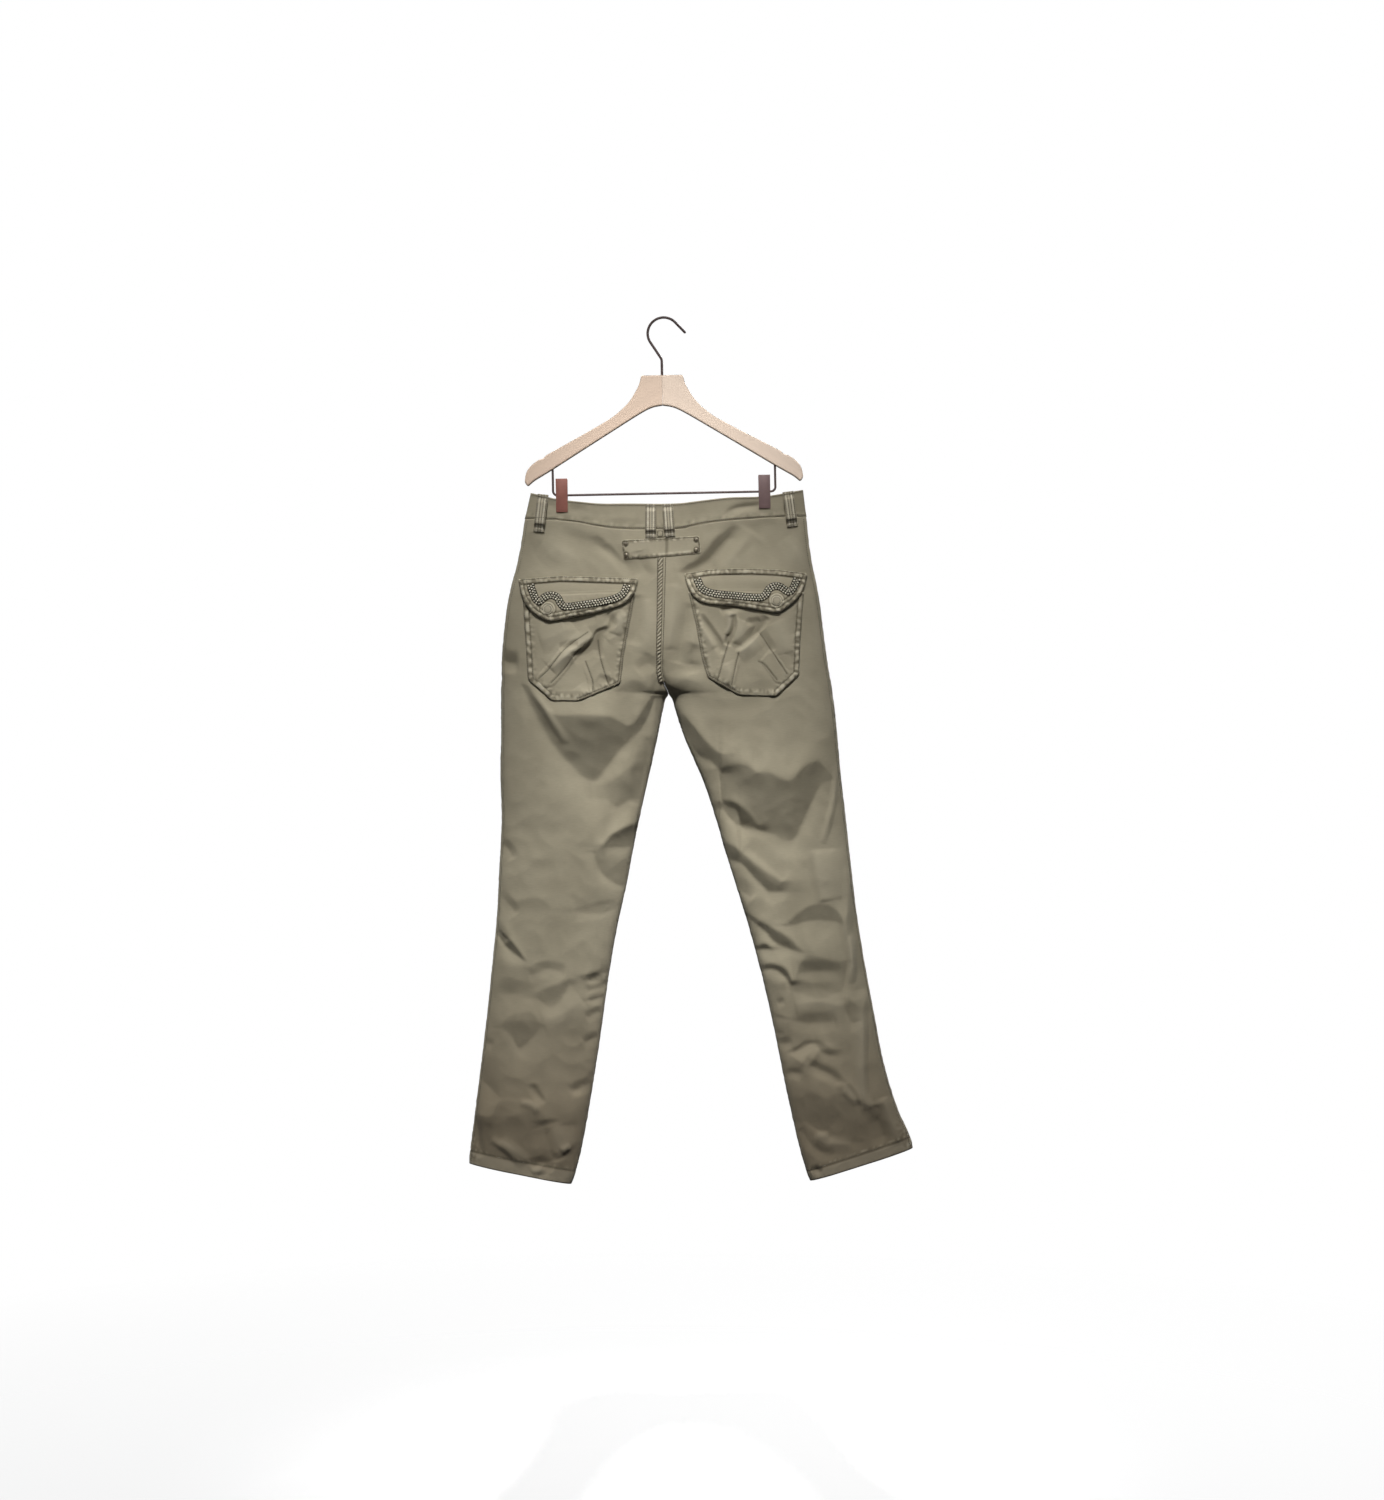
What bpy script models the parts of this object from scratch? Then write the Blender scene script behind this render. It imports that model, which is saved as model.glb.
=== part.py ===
"""Cargo trousers hung by the waistband from a wooden clip hanger.

The scene is in metres with +Z up, and every named size below is in millimetres. The origin is the
inside top of the hanger's hook, where a rail carries it. The trousers' back faces -Y, the wearer's
right is +X, and the side seams and inseams lie in the plane y = 0.

Every cloth panel is a wall between two faces. Its outer face is a grid: rows run down the garment,
and columns run across from the side seam (share 0) to the centre seam or inseam (share 1).
"""
import math
from collections import namedtuple

import bmesh
import bpy
from mathutils import Matrix, Vector

MM = 0.001
GAP = 0.3                 # between two pieces that meet
PANEL_WALL = 1.8
HEM_WALL = 2.8
BAND_WALL = 2.6           # waistband, folded cloth

# Outlines from behind, a row for each level: x and z of the side seam, then x and z of the inner
# edge, which is the centre seam down to the crotch and the inseam below it.
SIDE_OUTLINE = {
    "left": (
        (-215, -310.5, -3, -327.5), (-225, -371, -3, -374), (-240, -431, -3, -436),
        (-248, -490, -4, -498), (-251, -533, -3, -541), (-251, -558, 0.5, -564),
        (-252, -575, 7.4, -581), (-252, -583, 3, -589), (-252, -600, -1, -605),
        (-252, -619, -5, -625), (-252, -648, -11, -656), (-253, -707, -25, -718),
        (-251, -767, -39, -781), (-252, -805, -47, -820), (-255, -857, -57, -874),
        (-259, -932, -74, -953), (-266, -1003, -86, -1025), (-274, -1081, -97, -1104),
        (-284, -1164, -110, -1189), (-294, -1242, -124, -1270), (-299, -1282, -134, -1313),
        (-301, -1308, -143, -1340),
    ),
    "right": (
        (221, -307, -3, -327.5), (228, -368, -3, -374), (240, -428, -3, -436),
        (248, -488, -4, -498), (254, -533, -3, -541), (258, -556, 0.5, -564),
        (261, -574, 7.4, -581), (262, -583, 13, -589), (264, -597, 18, -605),
        (266, -614, 24, -625), (269, -643, 35, -656), (274, -701, 62, -718),
        (281, -763, 83, -781), (285, -800, 94, -820), (291, -853, 111, -874),
        (300, -927, 135, -953), (311, -995, 154, -1025), (325, -1071, 172, -1104),
        (341, -1153, 189, -1189), (362, -1222, 207, -1270), (379, -1260, 219, -1313),
        (386, -1284, 227, -1335),
    ),
}
# For the same levels: how far the back and the front stand off the seam plane, and the number of
# grid rows from this level to the next.
LEVELS = (
    (11, 9, 2), (17, 12, 3), (25, 17, 3), (30, 21, 2), (33, 23, 1), (34, 24, 2), (34, 25, 1),
    (34, 26, 1), (34, 26, 1), (34, 27, 2), (33, 28, 3), (31, 28, 3), (29, 27, 2), (28, 26, 2),
    (27, 25, 3), (26, 24, 3), (25, 23, 3), (24, 22, 3), (23, 21, 3), (22, 20, 2), (22, 20, 1),
    (22, 20, 0),
)
CROTCH_LEVEL = 6
CROTCH_Z = -581
RISE_CURVE_Z = -520       # the centre seams start to curve under here
CELLS = {-1: 12, 1: 9}    # grid cells across a panel, by face: -1 back, 1 front
SPARING = {-1: 1, 1: 2}   # the front's rows are about half as many
EDGE_CROWDING = 0.75      # how much the columns crowd towards both edges
HIP_SQUARENESS = 3.0      # exponents of the rounded section
LEG_SQUARENESS = 2.3

# Waistband, a row for each station: share across from the side seam, x and z of the top edge, z of
# its bottom seam.
WAIST = {
    "left": (
        (0.00, -206, -270, -310.5), (0.21, -165, -279.5, -312), (0.40, -128, -284, -316.5),
        (0.55, -98, -287, -323), (0.73, -58, -287, -327), (1.00, -3, -287.5, -327.5),
    ),
    "right": (
        (0.00, 216, -265.3, -307), (0.27, 158, -275, -308.5), (0.52, 103, -277.5, -313),
        (0.72, 58, -282.5, -319), (0.87, 26, -286.5, -326), (1.00, -3, -287.5, -327.5),
    ),
}
WAIST_TOP_DEPTH = (9, 8)  # back and front
WAIST_ROWS = 3
FRONT_DROP = 14           # the front's waist is lower at the centre
DROP_END_Z = -430         # and the drop fades out here

# Hanger, in its own frame: the middle of its wood is x = 0, and it hangs a little askew
HANGER_TILT = math.radians(1.1)
CLIP_X = (-158.8, 155.2)
CLIP_WIDTH = 18
CLIP_TOP_Z = -245.2
CLIP_GRIP_Z = -264        # the grips splay from here up
CLIP_TIP_Z = -297
CLIP_PLATE = 1.2
CLIP_INNER = 3.6          # inner face of a jaw from the middle plane
CLIP_SPLAY = 2.0          # the grips lean out by this at their top
BARREL_RADIUS = 3.1
BARREL_LENGTH = 10
PINCH_HALF = 3.0          # the waist's half depth in the jaws
PINCH_REACH = 45
PINCH_TOP_Z = -304
PINCH_BOTTOM_Z = -415
WIRE_HOOK = 2.0           # radii
WIRE_BAR = 1.75
WIRE_CLEARANCE = 0.35
BAR_Z = -270.6
BAR_HALF = 172.3
BAR_BEND = 7
BAR_TOP_Z = -216
HOOK_CENTRE = (3.8, -22.8)
HOOK_RADIUS = 24.8
HOOK_LEAVES = math.radians(215)   # the arc starts here, going over the top
HOOK_ARRIVES = math.radians(42)
HOOK_TIP = (36.5, -21.5)
HOOK_BEND_Z = -62
SHANK_END_Z = -116
WOOD_THICKNESS = 12
WOOD_EDGE = 3

# Half of the wood's outline, from the top of the neck round the arm's end: x, z, and how much of
# each corner is rounded off
ARM_OUTLINE = (
    (32, -87.7, 3), (36, -103, 7), (51, -128.5, 12), (76, -150.8, 14), (107, -168.4, 14),
    (182, -208.5, 2), (186.5, -213.6, 2), (193, -215, 3), (205, -223, 7), (213.5, -234, 7),
    (216, -250, 4), (211, -256, 3), (202, -248, 5), (173, -231, 9), (129.4, -204, 12),
    (39.5, -148.8, 18), (18, -137, 14),
)
ARM_NECK_Z = (-88, -134.2)         # top and bottom of the neck at its centre

# What lies on the cloth: x, z and rounded-off length of each corner
POCKET = {
    "left": (
        (-217.5, -432, 0), (-213, -500, 0), (-209, -560, 5), (-172, -592.5, 6),
        (-129, -593, 6), (-65.5, -566, 5), (-61, -524, 0), (-43, -425, 0),
    ),
    "right": (
        (38, -425, 0), (49.6, -476, 0), (58.6, -527, 0), (67.6, -557, 5), (115, -584, 6),
        (174, -586, 6), (209, -553, 5), (211.3, -501, 0), (217, -425, 0),
    ),
}
FLAP = {
    "left": (
        (-225, -405, 2), (-160, -399.8, 0), (-38.5, -403.9, 4), (-41, -420, 8),
        (-57, -445, 16), (-110, -459.5, 0), (-177, -471.8, 7), (-203, -457, 8),
        (-220, -432, 12),
    ),
    "right": (
        (31.5, -396, 3), (72, -389.7, 0), (135, -388.4, 0), (174, -389.7, 0),
        (223.5, -396, 5), (216, -424, 12), (200, -442.5, 8), (177, -458.6, 7),
        (110, -447.6, 0), (60, -443.5, 14), (43, -430, 12), (33.5, -408, 8),
    ),
}
# Raised lines of stitched cloth on each pocket: a felled band on its outer edge and the tucks,
# each a line of points with its width
POCKET_RIDGES = {
    "left": (
        (((-212.5, -470), (-208.5, -502), (-204.6, -557)), 7),
        (((-191, -566), (-174, -544), (-146, -507), (-113, -484)), 5),
        (((-171, -575), (-151, -545)), 5),
        (((-114, -549), (-107, -580)), 5),
        (((-95, -533), (-86, -566)), 5),
    ),
    "right": (
        (((211, -462), (207, -503), (204.7, -549)), 7),
        (((148, -491), (171, -522), (194, -555)), 5),
        (((153, -535), (176, -571)), 5),
        (((98, -505), (86, -562)), 5),
        (((115, -516), (107, -573)), 5),
    ),
}
TAB = ((-66, -344.3, 4), (-61.5, -373.8, 4), (-8.8, -370.9, 0), (58, -364.5, 4), (55.5, -337.4, 4))
SEAM_BAND = (
    (-9.6, -371.6, 0), (-10.4, -460, 0), (-11, -545, 0), (-8, -564, 0), (3, -564, 0),
    (-0.6, -545, 0), (1.6, -460, 0), (3.8, -370.9, 0),
)
BRIDGE = ((-10.3, -328.3, 0), (-10.3, -340.2, 1), (0.2, -339.6, 1), (-1.1, -328.3, 0))
FLY = ((-41, -341.6, 0), (-40, -440, 0), (-36, -464, 10), (-20, -481, 10), (-3.6, -487, 0),
       (-3.6, -342, 0))
POCKET_LAYER = (0.3, 1.9)  # from the panel's outer face
RIDGE_LAYER = (1.7, 2.7)
FLAP_LAYER = (0.3, 4.8)
FLAP_CLEARS = 3.0          # the flap's underside where it passes over the pocket
CLEAR_MARGIN = 0.6
TAB_LAYER = (0.3, 2.5)
BAND_LAYER = (0.3, 1.3)
BRIDGE_LAYER = (0.3, 1.6)
FLY_LAYER = (0.3, 1.6)

# Belt loops: name, face (-1 back, 1 front), x and z of the top, x and z of the bottom
LOOPS = (
    ("loop_back_outer_left", -1, -186.7, -272.6, -193.0, -331),
    ("loop_back_centre_left", -1, -19.9, -288, -19.9, -340.7),
    ("loop_back_centre_right", -1, 6.0, -287.8, 9.4, -338.7),
    ("loop_back_outer_right", -1, 192.3, -268.4, 199.3, -323),
    ("loop_front_left", 1, -112, -291, -115, -346),
    ("loop_front_right", 1, 112, -284, 116, -339),
)
LOOP_WIDTH = 17
LOOP_WALL = 1.6
LOOP_SEATED = {-1: 0.7, 1: -0.15}  # off the rounded cloth at both sewn ends, by face; its flat cells
                           # lie a little inside it
LOOP_STANDS = 5.8          # and in the middle, room for a belt
LOOP_SEWN = 0.14           # share of the length that is sewn down at each end
LOOP_CELLS = 10

STUDS = ((-58.6, -350), (-57.6, -367.5), (50, -343.5), (50.4, -359.5))
STUD_RADIUS = 2.8
STUD_HEIGHT = 1.9
FLAP_BUTTONS = {"left": (-178, -452), "right": (174, -438.6)}
FLAP_BUTTON_RADIUS = 7.6
BUTTON_HEIGHT = 3.0
WAIST_BUTTON = (-11, -320)
WAIST_BUTTON_RADIUS = 8.5
BUTTON_EDGE = 0.9
SEAT_GAP = 0.45            # under a button or stud

# Largest folds. Each runs through three points of one panel; its width is where the fold has
# fallen to a third, and a negative height is a trough.
Fold = namedtuple("Fold", "panel start middle end width height")
FOLDS = (
    Fold("back_left", (-236, -520), (-184, -612), (-106, -715), 17, -6),
    Fold("back_left", (-186, -603), (-110, -612), (-44, -628), 17, 6),
    Fold("back_left", (-20, -596), (-58, -662), (-108, -712), 17, -5),
    Fold("back_left", (0, -640), (-40, -690), (-80, -750), 18, 5),
    Fold("back_left", (-112, -820), (-88, -872), (-52, -884), 18, -5),
    Fold("back_left", (-256, -800), (-220, -838), (-190, -850), 17, -4),
    Fold("back_left", (-260, -930), (-222, -958), (-180, -985), 18, -4),
    Fold("back_left", (-200, -1020), (-150, -1035), (-92, -1010), 20, 4),
    Fold("back_left", (-280, -1160), (-236, -1192), (-190, -1210), 20, -4),
    Fold("back_right", (270, -700), (238, -745), (196, -808), 17, -6),
    Fold("back_right", (56, -668), (130, -702), (240, -700), 17, 6),
    Fold("back_right", (80, -745), (132, -778), (196, -806), 17, -5),
    Fold("back_right", (96, -812), (130, -845), (176, -890), 17, -5),
    Fold("back_right", (150, -946), (200, -920), (282, -932), 17, 5),
    Fold("back_right", (120, -925), (165, -950), (216, -985), 17, -5),
    Fold("back_right", (152, -1008), (205, -1030), (268, -1026), 18, -5),
    Fold("back_right", (214, -1150), (262, -1186), (320, -1196), 20, 4),
    Fold("back_right", (222, -1262), (290, -1250), (350, -1262), 20, -4),
    Fold("front_left", (-30, -560), (-120, -600), (-220, -590), 22, 5),
    Fold("front_left", (-20, -640), (-110, -690), (-200, -720), 22, -5),
    Fold("front_left", (-70, -860), (-150, -880), (-230, -850), 22, 5),
    Fold("front_left", (-90, -960), (-170, -985), (-250, -960), 22, -4),
    Fold("front_left", (-120, -1180), (-190, -1205), (-270, -1170), 22, 4),
    Fold("front_right", (30, -565), (130, -605), (230, -590), 22, 5),
    Fold("front_right", (60, -660), (150, -705), (240, -720), 22, -5),
    Fold("front_right", (110, -850), (190, -880), (270, -850), 22, 5),
    Fold("front_right", (140, -950), (220, -985), (300, -960), 22, -4),
    Fold("front_right", (210, -1180), (270, -1205), (330, -1175), 22, 4),
)

SIDE_SIGN = {"left": -1, "right": 1}
FACE_NAME = {-1: "back", 1: "front"}

# Colours (linear), roughness and metallic value of each material
FINISHES = {
    "cloth": ((0.23, 0.205, 0.155), 0.9, 0.0),
    "cloth_light": ((0.30, 0.265, 0.205), 0.9, 0.0),
    "beech": ((0.69, 0.53, 0.41), 0.5, 0.0),
    "dark_wire": ((0.075, 0.05, 0.045), 0.35, 1.0),
    "clip_metal": ((0.2, 0.12, 0.11), 0.45, 0.8),
    "stud_metal": ((0.22, 0.2, 0.17), 0.4, 0.9),
}


# ---- numbers ----------------------------------------------------------------------------------

def smooth_step(value):
    value = min(max(value, 0.0), 1.0)
    return value * value * (3 - 2 * value)


def mix(first, second, share):
    return first + (second - first) * share


def smooth_value(knots, values, place):
    """The cubic curve through the values at their knots, read at one place."""
    last = len(knots) - 1
    index = 0
    while index < last - 1 and place > knots[index + 1]:
        index += 1

    def slope(i):
        low = max(i - 1, 0)
        high = min(i + 1, last)
        return (values[high] - values[low]) / (knots[high] - knots[low])

    step = knots[index + 1] - knots[index]
    f = min(max((place - knots[index]) / step, 0.0), 1.0)
    start, end = values[index], values[index + 1]
    leave, arrive = slope(index) * step, slope(index + 1) * step
    return (start * (2 * f ** 3 - 3 * f ** 2 + 1) + leave * (f ** 3 - 2 * f ** 2 + f)
            + end * (3 * f ** 2 - 2 * f ** 3) + arrive * (f ** 3 - f ** 2))


def table_value(rows, column, place):
    """One column of a table whose rows are one level apart."""
    return smooth_value(range(len(rows)), [row[column] for row in rows], place)


def waist_value(side, column, share):
    rows = WAIST[side]
    return smooth_value([row[0] for row in rows], [row[column] for row in rows], share)


# ---- the garment's surface --------------------------------------------------------------------

def fold_share(fold, x, z):
    """How strongly a fold acts at one place, from 0 to 1."""
    spans = ((fold.start, fold.middle), (fold.middle, fold.end))
    nearest = None
    for number, (first, second) in enumerate(spans):
        along_x, along_z = second[0] - first[0], second[1] - first[1]
        length_squared = along_x ** 2 + along_z ** 2
        share = ((x - first[0]) * along_x + (z - first[1]) * along_z) / length_squared
        share = min(max(share, 0.0), 1.0)
        distance = math.hypot(x - first[0] - share * along_x, z - first[1] - share * along_z)
        if nearest is None or distance < nearest[0]:
            nearest = (distance, (number + share) / 2)
    distance, along = nearest
    return math.sqrt(4 * along * (1 - along)) * math.exp(-(distance / fold.width) ** 2)


def folds_at(panel, x, z):
    return sum(fold.height * fold_share(fold, x, z) for fold in FOLDS if fold.panel == panel)


def centre_openness(inner_z):
    """1 where the section runs on across the centre seam, 0 where a leg's tube closes."""
    under = (RISE_CURVE_Z - inner_z) / (RISE_CURVE_Z - CROTCH_Z)
    under = min(max(under, 0.0), 1.0)
    return math.sqrt(1 - under ** 2)


def rounded_section(share, openness):
    """Stand-off of a unit-deep section: rounded at the side seam, and at the inseam if closed."""
    power = mix(LEG_SQUARENESS, HIP_SQUARENESS, openness)
    towards_centre = (1 - (1 - share) ** power) ** (1 / power)
    closed = max(1 - abs(2 * share - 1) ** power, 0) ** (1 / power)
    return mix(closed, towards_centre, openness)


def pinch_share(x, z):
    """1 in the jaws of a clip, falling to 0 away from it."""
    nearest = min(abs(x - clip_x) for clip_x in CLIP_X)
    down = (PINCH_TOP_Z - z) / (PINCH_TOP_Z - PINCH_BOTTOM_Z)
    return math.exp(-(nearest / PINCH_REACH) ** 4) * (1 - smooth_step(down))


def stand_off(face, depth, profile, x, z, panel=None):
    """y of the cloth's outer face, from its free depth, the clips' pinch and the folds."""
    pinch = pinch_share(x, z)
    off = depth * profile * (1 - pinch) + PINCH_HALF * min(1.0, 1.4 * profile) * pinch
    if panel:
        off += folds_at(panel, x, z) * smooth_step(1.3 * profile)
    return face * (GAP / 2 + off)


def panel_point(side, face, level, share):
    """A point of a panel's outer face."""
    outline = SIDE_OUTLINE[side]
    outer_x, outer_z, inner_x, inner_z = (table_value(outline, i, level) for i in range(4))
    if level <= CROTCH_LEVEL:
        centre_x = table_value(SIDE_OUTLINE["left"], 2, level)
        inner_x = centre_x + SIDE_SIGN[side] * GAP / 2
    x = mix(outer_x, inner_x, share)
    z = mix(outer_z, inner_z, share)
    seam_dip = waist_value(side, 3, share) - mix(outline[0][1], outline[0][3], share)
    z += seam_dip * (1 - smooth_step(level / 2))
    if face > 0:
        drop_left = smooth_step((z - DROP_END_Z) / (outline[0][1] - DROP_END_Z))
        z -= FRONT_DROP * share * drop_left
    depth = table_value(LEVELS, 0 if face < 0 else 1, level)
    profile = rounded_section(share, centre_openness(inner_z))
    panel = FACE_NAME[face] + "_" + side
    return Vector((x, stand_off(face, depth, profile, x, z, panel), z))


def band_point(side, face, height, share):
    """A point of the waistband's outer face; height is 0 at its seam and 1 at its top edge."""
    seam = panel_point(side, face, 0, share)
    top_x = waist_value(side, 1, share)
    top_z = waist_value(side, 2, share)
    if face > 0:
        top_z -= FRONT_DROP * share
    if share == 1:
        top_x = seam.x
    x = mix(seam.x, top_x, height)
    z = mix(seam.z + GAP, top_z, height)
    back_or_front = 0 if face < 0 else 1
    depth = mix(LEVELS[0][back_or_front], WAIST_TOP_DEPTH[back_or_front], height)
    profile = rounded_section(share, 1)
    return Vector((x, stand_off(face, depth, profile, x, z), z))


def cloth_surface(side, face, share, z):
    """Surface function and its row place, a level or a height, where the cloth passes height z."""
    seam_z = panel_point(side, face, 0, share).z
    if z > seam_z:
        top_z = band_point(side, face, 1, share).z
        return band_point, (z - seam_z) / (top_z - seam_z)
    low, high = 0.0, CROTCH_LEVEL + 4.0
    for _ in range(16):
        middle = (low + high) / 2
        if panel_point(side, face, middle, share).z > z:
            low = middle
        else:
            high = middle
    return panel_point, low


def cloth_point(face, x, z):
    """The point of the outer cloth, waistband or panel, at one x and z."""
    side = "left" if x < SIDE_OUTLINE["left"][0][2] else "right"
    share = 0.5
    for _ in range(5):
        surface, place = cloth_surface(side, face, share, z)
        seam_x = surface(side, face, place, 0).x
        inner_x = surface(side, face, place, 1).x
        share = min(max((x - seam_x) / (inner_x - seam_x), 0.0), 1.0)
    return surface(side, face, place, share)


def cloth_normal(face, x, z, reach=6):
    across = cloth_point(face, x + reach, z) - cloth_point(face, x - reach, z)
    along = cloth_point(face, x, z + reach) - cloth_point(face, x, z - reach)
    normal = across.cross(along).normalized()
    return normal if normal.y * face > 0 else -normal


# ---- grids and walls --------------------------------------------------------------------------

def crowded_shares(cells):
    """Shares across a panel, closer together at both edges where the section turns."""
    shares = []
    for index in range(cells + 1):
        even = index / cells
        shares.append(even - EDGE_CROWDING * math.sin(2 * math.pi * even) / (2 * math.pi))
    return shares


def level_places(last_level, sparing=1):
    """Row places from the waist down. A sparing of 2 leaves out about half the rows."""
    places = []
    for level in range(last_level):
        rows = max(1, LEVELS[level][2] // sparing)
        places += [level + row / rows for row in range(rows)]
    return places + [last_level]


def panel_grid(side, face, last_level=len(LEVELS) - 1):
    shares = crowded_shares(CELLS[face])
    places = level_places(last_level, SPARING[face])
    return [[panel_point(side, face, place, share) for share in shares] for place in places]


def edge_normal(tangent, outward):
    """Unit vector at right angles to an edge, in the plane that holds both it and outward."""
    normal = outward - tangent * (outward.dot(tangent) / tangent.length_squared)
    return normal.normalized()


def grid_normals(grid, face, side_sign=0, crotch_row=None):
    """Outward unit normals of a grid.

    side_sign is the side of a panel's side seam, or 0 for a grid from side seam to side seam. At
    the seams the normals lie in the seam's own plane, so the wall's end faces stay flat.
    """
    rows, columns = len(grid), len(grid[0])
    normals = []
    for r in range(rows):
        line = []
        for c in range(columns):
            along = grid[min(r + 1, rows - 1)][c] - grid[max(r - 1, 0)][c]
            across = grid[r][min(c + 1, columns - 1)] - grid[r][max(c - 1, 0)]
            flat_along = Vector((along.x, 0, along.z))
            normal = along.cross(across).normalized()
            if normal.y * face < 0:
                normal = -normal
            if c == 0:
                normal = edge_normal(flat_along, Vector((side_sign or -1, 0, 0)))
            elif c == columns - 1 and side_sign == 0:
                normal = edge_normal(flat_along, Vector((1, 0, 0)))
            elif c == columns - 1 and r == crotch_row:
                normal = Vector((0, 0, -1))
            elif c == columns - 1 and crotch_row is not None and r > crotch_row:
                normal = edge_normal(flat_along, Vector((-side_sign, 0, 0)))
            elif c == columns - 1:
                normal = edge_normal(Vector((0, along.y, along.z)), Vector((0, face, -1)))
            line.append(normal)
        normals.append(line)
    return normals


def moved(grid, normals, distance):
    """The grid moved out by a distance, which may be a function of the row number."""
    result = []
    for r, (points, directions) in enumerate(zip(grid, normals)):
        step = distance(r) if callable(distance) else distance
        result.append([point + direction * step for point, direction in zip(points, directions)])
    return result


def wall_object(name, outer, inner, turned_from=None):
    """Closed solid between two grids. From column turned_from on, cells split the other way."""
    rows, columns = len(outer), len(outer[0])
    mesh = bmesh.new()
    outer_verts = [[mesh.verts.new(point * MM) for point in line] for line in outer]
    inner_verts = [[mesh.verts.new(point * MM) for point in line] for line in inner]

    def cell(a, b, c, d):
        mesh.faces.new((a, b, c))
        mesh.faces.new((a, c, d))

    for r in range(rows - 1):
        for c in range(columns - 1):
            for grid in (outer_verts, inner_verts):
                corners = [grid[r][c], grid[r + 1][c], grid[r + 1][c + 1], grid[r][c + 1]]
                if turned_from is not None and c >= turned_from:
                    corners = corners[1:] + corners[:1]
                cell(*corners)
    for r in range(rows - 1):
        for c in (0, columns - 1):
            cell(outer_verts[r][c], outer_verts[r + 1][c], inner_verts[r + 1][c], inner_verts[r][c])
    for c in range(columns - 1):
        for r in (0, rows - 1):
            cell(outer_verts[r][c], outer_verts[r][c + 1], inner_verts[r][c + 1], inner_verts[r][c])
    return object_from(name, mesh)


def object_from(name, mesh):
    """Make an object of a bmesh, its faces turned outwards, and free the bmesh."""
    bmesh.ops.recalc_face_normals(mesh, faces=mesh.faces)
    data = bpy.data.meshes.new(name)
    mesh.to_mesh(data)
    mesh.free()
    return bpy.data.objects.new(name, data)


# ---- scene, collections and materials ---------------------------------------------------------

def clear_scene():
    for old in list(bpy.data.objects):
        bpy.data.objects.remove(old, do_unlink=True)


def new_collection(name):
    collection = bpy.data.collections.new(name)
    bpy.context.scene.collection.children.link(collection)
    return collection


def add_part(part, finish):
    """Put a finished piece in the model, with a material of its own."""
    colour, roughness, metallic = FINISHES[finish]
    material = bpy.data.materials.new(part.name)
    material.use_nodes = True
    shader = material.node_tree.nodes["Principled BSDF"]
    shader.inputs["Base Color"].default_value = (*colour, 1)
    shader.inputs["Roughness"].default_value = roughness
    shader.inputs["Metallic"].default_value = metallic
    part.data.materials.append(material)
    model.objects.link(part)
    return part


def add_cutter(cutter):
    cutter.hide_render = True
    cutter.display_type = "WIRE"
    cutters.objects.link(cutter)
    return cutter


def combine(part, other, operation):
    modifier = part.modifiers.new(operation.lower(), "BOOLEAN")
    modifier.operation = operation
    modifier.object = other
    modifier.solver = "EXACT"


# ---- outlines and what lies on the cloth ------------------------------------------------------

def rounded_outline(corners, steps=3):
    """Points round a closed outline whose corners are x, z and how much is rounded off."""
    points = []
    for index, (x, z, cut) in enumerate(corners):
        here = Vector((x, z))
        if not cut:
            points.append(here)
            continue
        before = Vector(corners[index - 1][:2]) - here
        after = Vector(corners[(index + 1) % len(corners)][:2]) - here
        start = here + before.normalized() * min(cut, before.length * 0.48)
        end = here + after.normalized() * min(cut, after.length * 0.48)
        for step in range(steps + 1):
            share = step / steps
            points.append(start.lerp(here, share).lerp(here.lerp(end, share), share))
    return points


def grown(corners, margin):
    """The outline's corners, each moved away from its middle."""
    middle = Vector((sum(c[0] for c in corners), sum(c[1] for c in corners))) / len(corners)
    result = []
    for x, z, cut in corners:
        here = Vector((x, z))
        here += (here - middle).normalized() * margin
        result.append((here.x, here.y, cut))
    return result


def strip_outline(line, width):
    """Closed outline of a narrow strip along a line of points."""
    left, right = [], []
    for index, point in enumerate(line):
        before = Vector(line[max(index - 1, 0)])
        after = Vector(line[min(index + 1, len(line) - 1)])
        along = (after - before).normalized()
        sideways = Vector((-along.y, along.x)) * width / 2
        left.append(Vector(point) + sideways)
        right.append(Vector(point) - sideways)
    return left + right[::-1]


def prism(name, outline, y_from, y_to):
    """Solid of an x and z outline, from one y to another."""
    mesh = bmesh.new()
    face = mesh.faces.new([mesh.verts.new((x * MM, y_from * MM, z * MM)) for x, z in outline])
    far_side = bmesh.ops.extrude_face_region(mesh, geom=[face])["geom"]
    verts = [item for item in far_side if isinstance(item, bmesh.types.BMVert)]
    bmesh.ops.translate(mesh, verts=verts, vec=(0, (y_to - y_from) * MM, 0))
    return object_from(name, mesh)


class Sheet:
    """A face of the garment that pieces lie on: its grid and normals."""

    REACH = 120            # how far an outline's prism reaches from the seam plane

    def __init__(self, grid, normals, face, turned_from=None):
        self.grid = grid
        self.normals = normals
        self.face = face
        self.turned_from = turned_from

    def piece(self, name, outline, layer):
        """A piece that follows the cloth under it: a layer's stretch within an outline."""
        near = moved(self.grid, self.normals, layer[0])
        far = moved(self.grid, self.normals, layer[1])
        part = wall_object(name, far, near, self.turned_from)
        edge = add_cutter(prism(name + "_outline", outline, 0, self.face * self.REACH))
        combine(part, edge, "INTERSECT")
        return part


def side_sheet(side, face, last_level):
    grid = panel_grid(side, face, last_level)
    crotch_row = len(level_places(CROTCH_LEVEL, SPARING[face])) - 1
    return Sheet(grid, grid_normals(grid, face, SIDE_SIGN[side], crotch_row), face)


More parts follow.
